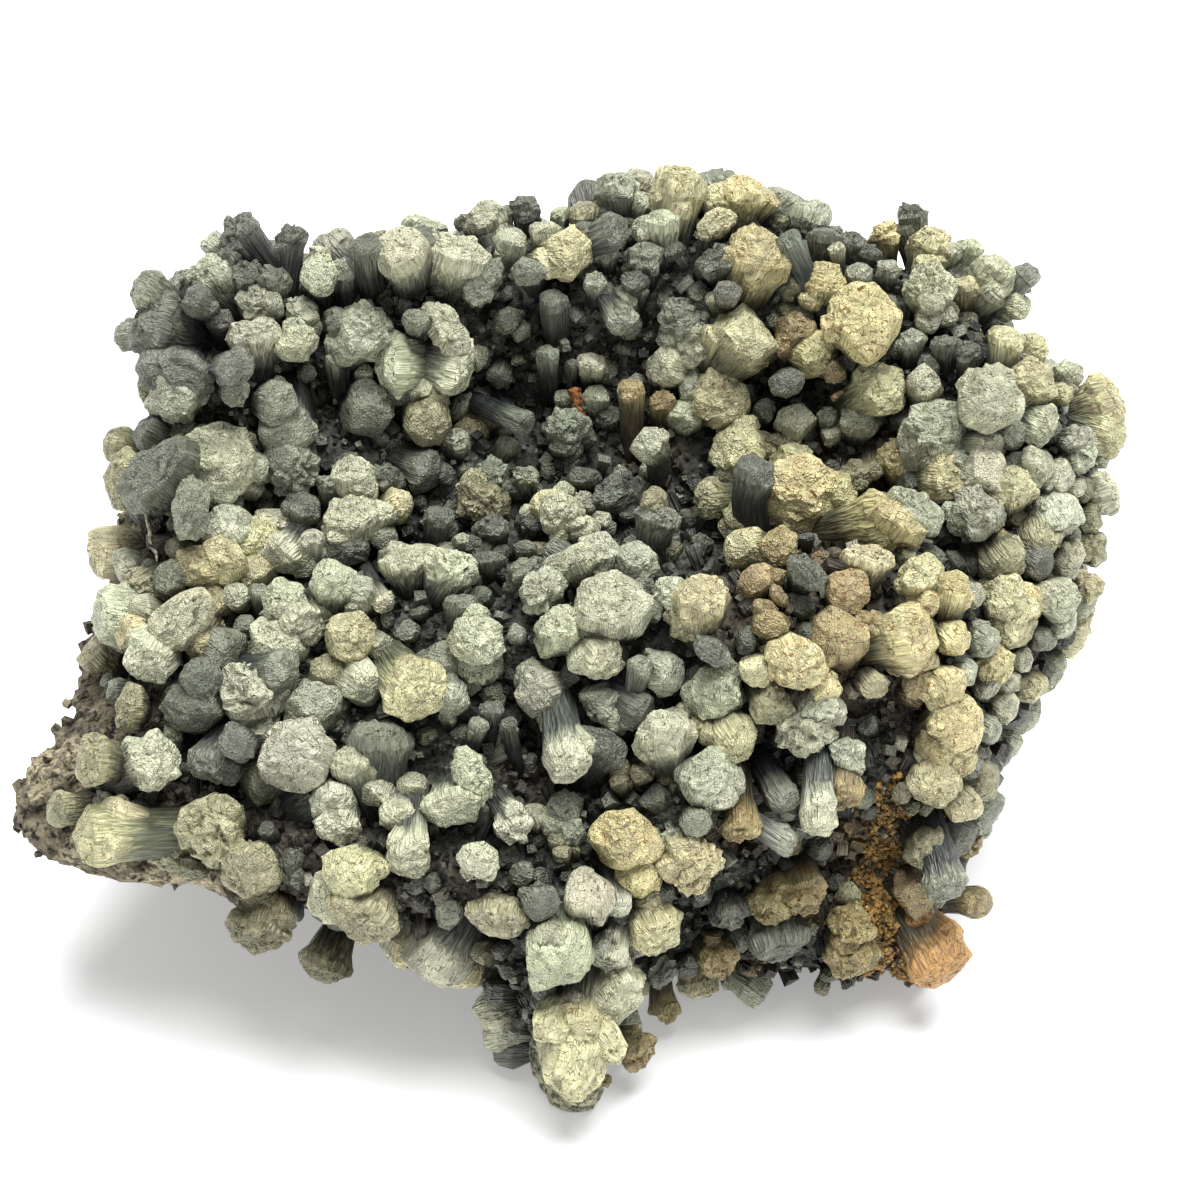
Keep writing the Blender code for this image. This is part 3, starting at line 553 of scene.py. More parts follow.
48.8,1.5,3.5,4,100,35 on; 43.5,1,5,5,320,45 tm; 46,-4,4.5,10,165,30 Gs; 50,-6,3.5,5,150,30 bm;
42.3,-4.5,5,4.5,220,50 bk; 42.3,-8,3,3,180,40 On; 45,-13.5,6.5,8,150,30 Os;
-61,12,6,14,245,25 tf; -53,12.3,6,8,60,45 wm; -51,15.5,2,2.5,0,40 wk; -46,11,6,7,200,40 df;
-43,14,4,10,180,20 ds; -61,2.5,6.5,11,270,35 Ys; -65,6,4,6,290,30 ts; -57.3,7,1.5,3.5,10,20 tk;
-46.5,3,7.5,7,250,55 tn; -52,0,4,4,200,45 tn; -49,-1.5,5,4,190,40 tf; -41.5,-2,6,6,200,50 tm;
-40.5,-9,7,7,200,40 vn; -35.5,12.5,8,9,320,55 wm; -25,15,7,7,0,25 Gf; -28.8,12,4.5,6,340,35 gc;
-24.8,11.5,3,3,40,40 gk; -25.5,8,4,4,200,50 gc; -21,9,3.5,3,0,50 gk; -20.3,7,2.5,2.5,0,50 gk;
-31,6.5,5,6,170,45 wm; -30.3,3.5,4.5,5,190,45 wm; -22.8,5,4,5,170,45 gc; -21.5,-0.5,5,6,180,40 gm;
-29,-2.5,6,10,205,25 Yc; -13.5,10,6.5,7,70,40 gf; -16,6,7.5,7,170,40 gf; -12.8,-0.5,4.5,9,190,25 gc;
-7.8,3.5,4,5,150,45 wn; -5.3,5.3,3,3,0,50 gk; -3.3,4,2.5,2.5,0,50 wk; -2,6,4,4,150,45 Gs;
-0.8,3,3.5,3,170,45 en; -2.8,2,1.8,2,0,50 tk; -2.3,0.5,2,2,0,50 tk; -0.5,0.8,1,1,0,50 tk;
-1.5,12,5.3,11,170,40 gm; -3.8,17.3,2.8,3,350,45 gk; -10.5,-8,7,8,180,30 tf; -27.5,-8,8,12,200,25 tf;
-32,-14,6,6,200,30 vf; -5,-6,4,7,150,30 ds; 3,14,6,7,40,30 df; -16.5,17.8,2,2,0,50 gk;
2.8,19,4.5,4,210,50 en; 4.8,17,3.5,4,120,50 gc; 7.5,18,4,5,120,30 ds; 10.5,15.5,6,8,350,45 gc;
13,18.3,2.5,3,340,40 gk; 14.3,16.8,2,2,0,50 gk; 15.7,16.7,3,3,0,50 Yk; 19.3,14.5,5.5,6,150,45 Yc;
28,15.5,7,4,190,50 wn; 16.3,10,7,7,0,60 em; 5,11,2.5,2.5,0,55 tc; 7.8,10.5,2.5,2.5,20,55 tc;
5,9.3,2.2,2.2,340,55 tc; 9,11,1.5,1.5,0,55 tc; 1,-4.5,5.5,6,0,60 gk; -2.5,-13,7.5,8,180,50 gk;
5.5,2,7,7,0,60 ym; 7,-3,4.5,5,200,45 yk; 4.8,-6.3,3,4,170,45 wk; 9.5,-9.5,6,7,150,45 Ym;
7.3,-11,3.5,4,160,50 wk; 3.5,-12.5,4,4,200,45 en; 10.5,-5,3,3,100,45 Gs; 14.5,-1.5,6.5,6,150,50 pn;
14.5,4,3.5,6,160,35 Gs; 11.5,2,3,3,0,50 en; 20,3.5,4,5,180,45 on; 25.5,7,3.5,5,150,40 Gk;
29.8,4.5,4.3,10,182,30 gc; 33,7.5,4,7,180,30 on; 33.5,13,4,5,0,40 en; 26,1.5,3,7,120,20 Gs;
28,-5,5,6,170,45 on; 23.5,-6,5,5,200,45 on; 25,-11,7,6,170,30 df; 17.5,-13,4.5,4,140,45 on;
18.5,-7.5,4,4,170,45 dn; 33.5,-4.5,2.5,3,0,50 tk; 34,-8.5,5,5,0,50 on; 34,-12.5,5.5,5,160,50 on;
-0.8,-18.8,3,3,180,50 wk; -0.8,-24,7.5,6,190,15 Yt; -3.2,-20.5,4.5,5,230,30 Yt;
2.6,-22.5,4,5,140,30 Yt; 0.6,-28,3.5,5,180,20 Yc; 4.5,-17.5,6.5,5.5,150,45 gm;
7.5,-24.5,4.5,4,150,40 on; 11,-19.5,3,4,60,30 on; 10,-14.5,4,4,120,45 dn; 3.3,-28,1.5,2,0,40 on
"""

# Tones: the cap's colour, the neck's colour, and how much rusty stain lies in the cracks.
TONES = {
    "g": ((207, 209, 177), (83, 89, 80), 0.05),
    "e": ((190, 193, 167), (77, 82, 76), 0.04),
    "G": ((150, 154, 133), (65, 69, 66), 0.0),
    "d": ((122, 125, 110), (54, 57, 55), 0.0),
    "Y": ((219, 214, 168), (98, 101, 80), 0.4),
    "y": ((224, 214, 160), (98, 97, 74), 1.0),
    "b": ((186, 170, 126), (84, 79, 62), 0.8),
    "t": ((172, 169, 134), (92, 90, 74), 0.15),
    "w": ((211, 212, 184), (106, 108, 95), 0.05),
    "p": ((210, 200, 156), (108, 102, 78), 0.4),
    "o": ((166, 153, 106), (84, 81, 62), 0.8),
    "O": ((202, 156, 92), (92, 90, 74), 1.0),
    "v": ((140, 137, 104), (82, 80, 62), 0.15),
}

# Kinds: depth over width, height of the dome and radius of the root (both over the width), how the
# neck spreads, boxiness of the cap, how far its blocks step in and out (over the width), how many
# blocks there are, how many sides the cross-section has, and how far down the flank the blocks
# reach (over the width).
KIND_COLUMNS = ("depth", "dome", "root", "spread", "boxy", "relief", "blocks", "sides", "flank")
KINDS = {
    "c": (0.88, 0.36, 0.27, 1.0, 0.56, 0.024, 48, 7, 0.36),
    "m": (0.94, 0.38, 0.31, 1.0, 0.60, 0.034, 64, 8, 0.38),
    "f": (0.56, 0.24, 0.13, 0.85, 0.52, 0.030, 48, 9, 0.10),
    "k": (0.86, 0.36, 0.38, 1.0, 0.34, 0.018, 12, 4, 0.40),
    "n": (0.88, 0.40, 0.36, 1.0, 0.75, 0.065, 64, 8, 0.50),
    "s": (0.90, 0.28, 0.38, 0.8, 0.50, 0.022, 30, 7, 0.05),
    "t": (0.84, 0.95, 0.44, 0.8, 0.98, 0.030, 64, 6, 0.40),
}
NECK_PART = 3  # one row of points in three is the neck's
FLAT_FACES = 11
SHORTENED = np.array((1.0, 1.0, 0.7), np.float32)  # heights count for less, so blocks are tall
ROOT_DEPTH = SINK + 1.2  # how far inside the body bundles start
ROOT_STEPS = np.arange(0.5, 16.0, 0.5)  # how far back from a cap its root is looked for
WALK_START = 300.0  # how far from the eye a walk along a line of sight starts
WALK_REACH = 200.0
WALK_STEPS = 70
LEAST_OUTWARD = 0.6  # how far every axis points out from the body, at least
FULL_WIDTH = 1.17  # the width before the flat faces are cut, over the width in the picture


def unit(vectors):
    """Vectors scaled to length 1."""
    return vectors / np.linalg.norm(vectors, axis=-1, keepdims=True)


def body_distance(points):
    """Distance to the body that the bundles stand on: the limbs of crust and rock together."""
    return limb_distance(points, CRUST_LIMBS + ROCK_LIMBS)


def body_normals(points):
    """Unit vectors in which the distance to the body grows fastest."""
    steps = 0.4 * np.eye(3)
    slopes = [body_distance(points + step) - body_distance(points - step) for step in steps]
    return unit(np.stack(slopes, axis=-1))


def sight_lines(across, up):
    """Unit vectors from the eye to places on the picture plane."""
    return unit(across[:, None] * ACROSS + up[:, None] * UP - EYE)


def walk_in(sight, stand):
    """Where the body is only `stand` away on each line of sight, or nearest where it isn't met.

    A step is 0.8 of what is left, at least 0.15 mm, and the walk ends when 0.05 mm is left.
    """
    starts = EYE + WALK_START * sight
    gone = np.zeros(len(starts))
    best = np.full(len(starts), np.inf)
    kept = gone.copy()
    for _ in range(WALK_STEPS):
        left = body_distance(starts + gone[:, None] * sight) - stand
        closer = (left < best - 0.01) & (gone < WALK_REACH)
        best = np.where(closer, left, best)
        kept = np.where(closer, gone, kept)
        gone = gone + np.where(left > 0.05, np.maximum(0.8 * left, 0.15), 0.0)
    return starts + kept[:, None] * sight


def rooted(caps, axes, width, looks):
    """Bundles as arrays, each with its root: back along the axis to inside the ground.

    Where that misses the ground the root is straight down in it, and the axis is turned outwards.
    """
    line = caps[:, None] - ROOT_STEPS[None, :, None] * axes[:, None]
    sunk = body_distance(line) < -ROOT_DEPTH
    found = sunk.any(axis=1)[:, None]
    back = ROOT_STEPS[np.argmax(sunk, axis=1)][:, None]
    down = np.maximum(body_distance(caps) + ROOT_DEPTH, 1.0)[:, None]
    outward = body_normals(caps)
    roots = np.where(found, caps - back * axes, caps - down * outward)
    axes = unit(np.where(found, axes, axes + 1.5 * outward))
    return {"cap": caps, "axis": axes, "width": width, "root": roots, "look": looks}


def seen_bundles():
    """The bundles of the picture, each walked in along its line of sight to its place."""
    rows = [row.replace(",", " ").split() for row in BUNDLES.split(";")]
    across, up, width, length, heading, lean = np.array([row[:6] for row in rows], float).T
    heading, lean = np.radians(heading)[:, None], np.radians(lean)[:, None]
    flat = np.sin(heading) * ACROSS + np.cos(heading) * UP
    axes = np.cos(lean) * flat + np.sin(lean) * TOWARDS_EYE
    stand = np.maximum(0.2 * width, 0.85 * (length - 0.5 * width))
    caps = walk_in(sight_lines(across, up), stand)
    normals = body_normals(caps)
    outward = (axes * normals).sum(axis=1, keepdims=True)
    axes = unit(axes + np.maximum(LEAST_OUTWARD - outward, 0) * normals)
    width = FULL_WIDTH * width * picture_place(caps)[2]
    return rooted(caps, axes, width, [row[6] for row in rows])


def polygon_radius(angles, sides, rng):
    """A rough polygon's radius at some angles: the nearest of its sides, d / cos(angle to its normal)."""
    most = int(sides.max())
    side = np.arange(most)[None]
    shape = len(sides), most
    normals = side * 2 * math.pi / sides[:, None] + rng.uniform(-0.22, 0.22, shape)
    normals = normals + rng.uniform(0, 6.3, (len(sides), 1))
    out_of_reach = 9
    reach = rng.uniform(0.92, 1.08, shape) + np.where(side < sides[:, None], 0, out_of_reach)
    facing = np.cos(angles[None, None] - normals[..., None])
    radius = np.where(facing > 0.2, reach[..., None] / np.maximum(facing, 0.2), out_of_reach)
    return np.minimum(radius.min(axis=1), 1.22)


def plain_bundles(bundles, kind, rows, columns, rng):
    """Bundles with smooth caps in their own frames, and each one's row heights, rim height and neck.

    Rows go up from the root: over the neck the radius is root + (rim - root) x^spread at a share x
    of the way, and over the cap radius and height are cos and sin of a rising angle, each to the
    power of the boxiness.
    """
    width, boxy, root = bundles["width"][:, None], kind["boxy"], 2 * kind["root"]
    neck_rows = rows // NECK_PART
    rising = np.radians(np.linspace(-30, 90, rows - neck_rows))[None]
    share = np.linspace(0, 1, neck_rows, endpoint=False)[None]
    rim_low = -kind["dome"] * width * np.abs(np.sin(rising[:, :1])) ** boxy
    cap_end = bundles["cap"] + rim_low * bundles["axis"]
    neck = np.linalg.norm(cap_end - bundles["root"], axis=1, keepdims=True)
    neck_radius = root + (0.93 * np.cos(rising[:, :1]) ** boxy - root) * share ** kind["spread"]
    cap_height = kind["dome"] * width * np.sign(rising) * np.abs(np.sin(rising)) ** boxy
    cap_radius = np.maximum(np.cos(rising), 0) ** boxy
    height = np.concatenate([rim_low + neck * (share - 1), cap_height], axis=1)
    radius = np.concatenate([neck_radius, cap_radius], axis=1) * width / 2
    angles = np.arange(columns) * 2 * math.pi / columns
    corner = polygon_radius(angles, kind["sides"][:, 0].astype(int), rng)
    cornered = np.concatenate([0.55 + 0.45 * share[0], np.ones(rows - neck_rows)])[None, :, None]
    around = radius[..., None] * (1 + (corner[:, None] - 1) * cornered)
    deep = around * np.sin(angles) * kind["depth"][..., None]
    local = np.stack([around * np.cos(angles), deep, np.repeat(height[..., None], columns, 2)], axis=-1)
    return local, height, rim_low, neck


def press_flat(local, half, rng):
    """Flat faces on caps: what stands out past each of some random planes is pressed back onto it."""
    n = len(local)
    for turn in range(FLAT_FACES):
        polar = rng.uniform(0.25, 1.35, n) if turn else rng.uniform(0, 0.3, n)
        bearing = rng.uniform(0, 2 * math.pi, n)
        flat = np.array((np.sin(polar) * np.cos(bearing), np.sin(polar) * np.sin(bearing), np.cos(polar))).T
        reach = np.linalg.norm(flat * half, axis=1) * rng.uniform(0.80, 1.02, n)
        past = np.einsum("nrcx,nx->nrc", local, flat) - reach[:, None, None]
        local = local - np.maximum(past, 0)[..., None] * flat[:, None, None]
    return local


def step_blocks(local, on_cap, width, kind, rng, seed):
    """Blocks on caps and fibres on necks, with each point's block step and distance to its block's edge.

    Each point moves with the nearest of some block middles, by that block's own step and slope,
    and falls into a groove where the next one is about as near. Blocks are longer up and down.
    """
    n, rows, columns, _ = local.shape
    neck_rows = rows // NECK_PART
    most = int(kind["blocks"].max())
    pick = neck_rows - 2 + (rows - neck_rows + 1) * rng.uniform(0, 1, (n, most)) ** 0.8
    pick = np.clip(pick.astype(int), 0, rows - 1)
    middles = local[np.arange(n)[:, None], pick, rng.integers(0, columns, (n, most))]
    used = np.arange(most)[None, :, None] < kind["blocks"][..., None]
    middles = np.where(used, middles, 1e3)
    here = (local * SHORTENED).astype(np.float32).reshape(n, -1, 3)
    there = (middles * SHORTENED).astype(np.float32)
    gaps = (here**2).sum(axis=-1)[..., None] + (there**2).sum(axis=-1)[:, None]
    gaps = (gaps - 2 * here @ there.transpose(0, 2, 1)).reshape(n, rows, columns, most)
    two = np.sqrt(np.maximum(np.partition(gaps, 1, axis=-1)[..., :2], 0))
    edge = (two[..., 1] - two[..., 0]) / width
    chosen = np.arange(n)[:, None, None], np.argmin(gaps, axis=-1)
    step = rng.uniform(-1, 1, (n, most))[chosen]
    slope = rng.normal(0, 0.5, (n, most, 3))[chosen]
    tilt = ((local - middles[chosen]) * slope).sum(axis=-1) / width
    outward = local * (1, 1, 1 / kind["dome"].max())
    outward = outward / (np.linalg.norm(outward, axis=-1, keepdims=True) + 1e-6)
    move = kind["relief"][..., None] * width * (step + tilt - 1.0 * np.exp(-edge / 0.05)) * on_cap
    apart = 40.0 * np.arange(n)[:, None, None, None]
    fibres = lattice_noise(local * (3.2, 3.2, 0.22) + apart, 1.0, seed + 1)
    grit = lattice_noise(local + 9.0, 0.6, seed + 2)
    move = move + 0.05 * width * fibres * (1 - 0.85 * on_cap) + 0.06 * grit * (1 - on_cap)
    local = local + move[..., None] * outward
    local[:, -1] = local[:, -1].mean(axis=1, keepdims=True)
    return local, step, edge


def bend_to_place(local, bundles, rim_low, neck):
    """Takes bundles from their own frames to their places, along necks that bend into their axes.

    A neck's middle line is (1 - t)^2 root + 2 t (1 - t) bend + t^2 rim, with the bend half the
    neck's length under the rim.
    """
    axis = bundles["axis"]
    rim = bundles["cap"] + rim_low * axis
    side = unit(np.cross(TOWARDS_EYE, axis) + 1e-4)[:, None, None]
    start, middle, end = (v[:, None, None] for v in (bundles["root"], rim - 0.5 * neck * axis, rim))
    t = np.clip(1 + (local[..., 2] - rim_low[..., None]) / neck[..., None], 0, 1)[..., None]
    centre = (1 - t) ** 2 * start + 2 * t * (1 - t) * middle + t**2 * end
    tangent = (1 - t) * (middle - start) + t * (end - middle)
    tangent = tangent / (np.linalg.norm(tangent, axis=-1, keepdims=True) + 1e-9)
    across = unit(side - (side * tangent).sum(axis=-1, keepdims=True) * tangent)
    other = np.cross(tangent, across)
    above = np.maximum(local[..., 2:] - rim_low[..., None, None], 0)
    world = centre + local[..., :1] * across + local[..., 1:2] * other + above * axis[:, None, None]
    world[..., 2] = np.maximum(world[..., 2], TABLE_GAP)
    return world


def bundle_colours(bundles, world, height, on_cap, step, edge, rng):
    """Colours from dark neck to pale cap, darker at block edges and near the ground, and the stain.

    The darker block edges are dark cracks with painted shade in their grooves; the darkening near
    the ground is painted shade.
    """
    n = len(world)
    tones = [TONES[look[0]] for look in bundles["look"]]
    cap_colour = np.array([linear(*tone[0]) for tone in tones])[:, None, None]
    neck_colour = np.array([linear(*tone[1]) for tone in tones])[:, None, None]
    stain = np.array([tone[2] for tone in tones])[:, None, None]
    paleness = (height / bundles["width"][:, None] + rng.uniform(0.55, 0.8, (n, 1))) / 0.6
    paleness = np.clip(paleness, 0, 1)[..., None, None]
    paleness = paleness * paleness * (3 - 2 * paleness)
    colour = neck_colour + (cap_colour - neck_colour) * paleness
    shade = rng.uniform(0.88, 1.10, (n, 1, 1)) * (1 + 0.14 * step)
    # Dark cracks at block edges, with painted shade in the grooves there
    shade = shade * (1 - 0.35 * np.exp(-edge / 0.04) * on_cap)
    # Painted shade: darker the nearer the ground, down to 0.12
    shade = shade * np.clip(0.48 + 0.18 * body_distance(world), 0.12, 1.0)
    colour = colour * shade[..., None] * (1 + 0.015 * rng.normal(0, 1, (n, 1, 1, 3)))
    return np.clip(colour, 0, 1), stain * (0.35 + 0.65 * on_cap)


def bundle_surfaces(bundles, rows, columns, seed):
    """Bundles' points, own coordinates, colours, stains and cap shares, by bundle, row and column."""
    rng = np.random.default_rng(seed)
    n = len(bundles["width"])
    width = bundles["width"][:, None]
    values = np.array([KINDS[look[1]] for look in bundles["look"]]).T[..., None]
    kind = dict(zip(KIND_COLUMNS, values))
    kind["dome"] = kind["dome"] * rng.uniform(0.85, 1.15, (n, 1))
    local, height, rim_low, neck = plain_bundles(bundles, kind, rows, columns, rng)
    half = width * np.concatenate([np.full((n, 1), 0.5), 0.5 * kind["depth"], kind["dome"]], axis=1)
    own = press_flat(local, half, rng)
    on_cap = np.clip((height / width + kind["flank"]) / 0.22, 0, 1)[..., None]
    local, step, edge = step_blocks(own, on_cap, width[..., None], kind, rng, seed)
    world = bend_to_place(local, bundles, rim_low, neck)
    colour, stain = bundle_colours(bundles, world, height, on_cap, step, edge, rng)
    own = own + 50.0 * rng.uniform(0, 1, (n, 1, 1, 3))
    stain, on_cap = (np.broadcast_to(value, world.shape[:-1]) for value in (stain, on_cap))
    return world, own, colour, stain, on_cap


def tile_map(n, rows, columns):
    """Bundles' map: each has a tile, from left to right round it and from low to high up it."""
    column, row = np.meshgrid(np.arange(columns), np.arange(rows - 2))
    first = np.arange(columns)
    low = np.zeros(columns)
    faces = (
        ((column, column + 1, column + 1, column), (row, row, row + 1, row + 1)),
        ((first, first + 1, first + 0.5), (low + rows - 2, low + rows - 2, low + rows - 1)),
        ((first + 1, first, first + 0.5), (low, low, low - 1)),
    )
    tiles = math.ceil(math.sqrt(n))
    number = np.arange(n)[:, None]
    maps = []
    for around, upward in faces:
        u = np.stack(around, axis=-1).ravel() / columns
        v = np.stack(upward, axis=-1).ravel() / rows
        across = (number % tiles + 0.04 + 0.92 * u) / tiles
        up = (number // tiles + 0.07 + 0.90 * v) / tiles
        maps.append(np.stack([across, up], axis=-1).reshape(-1, 2))
    return np.concatenate(maps)


def bundle_piece(name, bundles, rows, columns, seed):
    """One piece of many bundles: each is closed by a point at its tip and one at its root."""
    world, own, colour, stain, on_cap = bundle_surfaces(bundles, rows, columns, seed)
    n = len(world)
    rings = np.arange(n * (rows - 1) * columns).reshape(n, rows - 1, columns)
    after = np.roll(rings, -1, axis=2)
    tips = np.repeat(rings.size + np.arange(n)[:, None], columns, 1)
    quads = np.stack([rings[:, :-1], after[:, :-1], after[:, 1:], rings[:, 1:]], axis=-1)
    tip_fans = np.stack([rings[:, -1], after[:, -1], tips], axis=-1)
    end_fans = np.stack([after[:, 0], rings[:, 0], tips + n], axis=-1)
    faces = [quads.reshape(-1, 4), tip_fans.reshape(-1, 3), end_fans.reshape(-1, 3)]

    def flatten(values):
        tail = values.shape[3:]
        parts = [values[:, :-1].reshape(-1, *tail), values[:, -1].mean(axis=1), values[:, 0].mean(axis=1)]
        return np.concatenate(parts)

    piece = make_piece(name, flatten(world), faces, smooth=False)
    # The tint carries the bundles' painted shade at block edges and near the ground
    for key, values in (("tint", colour), ("own", own), ("stain", stain), ("cap", on_cap)):
        give(piece, key, flatten(values))
    layer = piece.data.uv_layers.new(name="OFBake")
    layer.data.foreach_set("uv", tile_map(n, rows, columns).astype(np.float32).ravel())
    fit(piece, BUNDLE_MATERIAL, "prehnite")


def bundle_halves(name, bundles, middle, rows, columns, seed):
    """Two pieces: the bundles to the left and to the right of a middle."""
    left = bundles["cap"][:, 0] < middle
    bundle_piece(f"{name}_left", some_of(bundles, left), rows, columns, seed)
    bundle_piece(f"{name}_right", some_of(bundles, ~left), rows, columns, seed)


def block_group():
    """Square-cut crystal blocks: dark gaps between them, pale edges beside the gaps that are a painted
    highlight, and a tone each.

    A gap is where the nearest two cell middles are about as near, by the largest of the three
    differences between their coordinates.
    """
    tree, start, end = group_tree(
        "crystal_blocks",
        [("Vector", "NodeSocketVector"), ("Scale", "NodeSocketFloat"), ("Gap", "NodeSocketFloat")],
        [(name, "NodeSocketFloat") for name in ("Gap", "Edge", "Tone")],
    )
    place, scale, width = (start.outputs[name] for name in ("Vector", "Scale", "Gap"))
    warp = add_node(tree, "ShaderNodeTexNoise", {"Vector": place, "Scale": scale, "Detail": 0.0})
    warp = add_node(tree, "ShaderNodeVectorMath", {0: warp.outputs[1], "Scale": 0.3}, operation="SCALE")
    inputs = {0: place, 1: warp.outputs[0]}
    place = add_node(tree, "ShaderNodeVectorMath", inputs, operation="ADD").outputs[0]
    inputs = {"Vector": place, "Scale": scale, "Randomness": 0.66}
    first = add_node(tree, "ShaderNodeTexVoronoi", inputs, distance="CHEBYCHEV")
    second = add_node(tree, "ShaderNodeTexVoronoi", inputs, distance="CHEBYCHEV", feature="F2")
    apart = calculate(tree, "SUBTRACT", second.outputs["Distance"], first.outputs["Distance"])
    tone = add_node(tree, "ShaderNodeSeparateColor", {0: first.outputs["Color"]}).outputs[0]
    gap = ramp(tree, apart, 0.0, width, 1.0, 0.0)
    # Painted highlight: a pale band beside each gap
    edge = ramp(tree, apart, width, calculate(tree, "MULTIPLY", width, 2.4), 1.0, 0.0)
    edge = calculate(tree, "SUBTRACT", edge, gap)
    for name, value in (("Gap", gap), ("Edge", edge), ("Tone", tone)):
        tree.links.new(value, end.inputs[name])
    return tree


def fibre_group():
    """Fibres along the third axis: noise that is drawn out twelve times along it."""
    tree, start, end = group_tree(
        "fibres",
        [("Vector", "NodeSocketVector"), ("Scale", "NodeSocketFloat")],
        [("Lines", "NodeSocketFloat")],
    )
    inputs = {"Vector": start.outputs["Vector"], "Scale": (1.0, 1.0, 0.08)}
    drawn = add_node(tree, "ShaderNodeMapping", inputs)
    inputs = {"Vector": drawn.outputs[0], "Scale": start.outputs["Scale"], "Detail": 1.0, "Roughness": 0.75}
    lines = add_node(tree, "ShaderNodeTexNoise", inputs).outputs[0]
    tree.links.new(ramp(tree, lines, 0.34, 0.68), end.inputs["Lines"])
    return tree


BLOCKS = block_group()
FIBRES = fibre_group()
GAP_COLOUR = (0.030, 0.030, 0.020, 1)
RUST_COLOUR = (0.26, 0.115, 0.025, 1)
WASH_COLOUR = (0.55, 0.38, 0.14, 1)


def bundle_material():
    """Waxy, cloudy prehnite: blocks and cracks on the caps, fibres on the necks, rust in the cracks."""
    material, tree, shader = new_material("prehnite_bundles")
    own = attribute(tree, "own", "Vector")
    tint = attribute(tree, "tint", "Color")
    stain = attribute(tree, "stain", "Fac")
    cap = attribute(tree, "cap", "Fac")
    inputs = {"Vector": own, "Scale": 1.3, "Gap": 0.085}
    blocks = add_node(tree, "ShaderNodeGroup", inputs, node_tree=BLOCKS)
    inputs = {"Vector": own, "Scale": 3.2}
    lines = add_node(tree, "ShaderNodeGroup", inputs, node_tree=FIBRES).outputs["Lines"]
    inputs = {"Vector": own, "Scale": 0.45, "Detail": 1.0}
    cloud = add_node(tree, "ShaderNodeTexNoise", inputs).outputs[0]

    # How bright: on caps each block has its tone and pale edges, a painted highlight; on necks the fibres
    # are light and dark
    blocky = calculate(tree, "MULTIPLY_ADD", blocks.outputs["Tone"], 0.30, 0.72)
    blocky = calculate(tree, "MULTIPLY_ADD", blocks.outputs["Edge"], 0.36, blocky)
    blocky = calculate(tree, "MULTIPLY_ADD", lines, 0.30, blocky)
    fibrous = calculate(tree, "MULTIPLY_ADD", lines, 0.9, 0.5)
    light = add_node(tree, "ShaderNodeMix", {0: cap, 2: fibrous, 3: blocky}).outputs[0]
    colour = blend_colours(tree, 1.0, tint, light, "MULTIPLY")

    # Dark gaps between the blocks, then rust in some of the gaps and a thin wash of it beside them
    gap = blocks.outputs["Gap"]
    depth = calculate(tree, "MULTIPLY", gap, calculate(tree, "MULTIPLY_ADD", cap, 0.80, 0.05))
    colour = blend_colours(tree, depth, colour, GAP_COLOUR)
    stained = calculate(tree, "MULTIPLY", ramp(tree, cloud, 0.42, 0.56), stain)
    colour = blend_colours(tree, calculate(tree, "MULTIPLY", gap, stained), colour, RUST_COLOUR)
    colour = blend_colours(tree, calculate(tree, "MULTIPLY", stained, 0.04), colour, WASH_COLOUR)

    bump = add_node(tree, "ShaderNodeBump", {"Height": lines, "Strength": 0.9, "Distance": 0.00025})
    rough = ramp(tree, blocks.outputs["Tone"], 0.0, 1.0, 0.28, 0.6)
    tree.links.new(colour, shader.inputs["Base Color"])
    tree.links.new(rough, shader.inputs["Roughness"])
    tree.links.new(bump.outputs[0], shader.inputs["Normal"])
    shader.subsurface_method = "BURLEY"
    shader.inputs["Subsurface Weight"].default_value = 0.08
    shader.inputs["Subsurface Radius"].default_value = (1.0, 1.0, 0.7)
    shader.inputs["Subsurface Scale"].default_value = 0.0006
    shader.inputs["IOR"].default_value = 1.62
    return material


BUNDLE_MATERIAL = bundle_material()


def some_of(bundles, chosen):
    """The chosen ones of some bundles."""
    kept = {key: bundles[key][chosen] for key in ("cap", "axis", "width", "root")}
    kept["look"] = [bundles["look"][i] for i in np.flatnonzero(chosen)]
    return kept


LARGE = 4.6  # width from which a bundle gets a finer grid
seen = seen_bundles()
large = seen["width"] >= LARGE
seen_across = picture_place(seen["cap"])[0]


def lobes_of(bundles, rng):
    """One to three smaller bundles beside each cap: from the same root, leaning out to a random side.

    Fans have none, so that their fibrous flanks stay in sight.
    """
    fan = np.array([look[1] == "f" for look in bundles["look"]])
    count = np.where(fan, 0, np.clip(np.round(bundles["width"] / 2.4), 0, 3)).astype(int)
    parent = np.repeat(np.arange(len(count)), count)
    axis, big = bundles["axis"][parent], bundles["width"][parent]
    side = unit(np.cross(axis, rng.normal(0, 1, axis.shape)))
    width = big * rng.uniform(0.42, 0.7, len(parent))
    lower = rng.uniform(0.0, 0.4, len(parent)) * big
    caps = bundles["cap"][parent] + (0.5 * big - 0.26 * width)[:, None] * side - lower[:, None] * axis
    axes = unit(axis + rng.uniform(0.2, 0.7, (len(parent), 1)) * side)
    looks = []
    for i, odd in zip(parent, rng.integers(0, 6, len(parent))):
        tone = bundles["look"][i][0]
        looks.append(tone + ("sfscfn" if tone in "dG" else "ccnmkf")[odd])
    return {"cap": caps, "axis": axes, "width": width, "root": bundles["root"][parent], "look": looks}


for number, (low, high) in enumerate(((-99, -30), (-30, 5), (5, 35), (35, 99))):
    chosen = large & (seen_across >= low) & (seen_across < high)
    name = f"bundles_large_{number + 1}"
    bundle_piece(name, some_of(seen, chosen), rows=20, columns=30, seed=20 + number)
bundle_piece("bundles_small", some_of(seen, ~large), rows=12, columns=16, seed=30)
lobes = lobes_of(seen, np.random.default_rng(31))
bundle_halves("lobes", lobes, middle=5, rows=10, columns=12, seed=32)
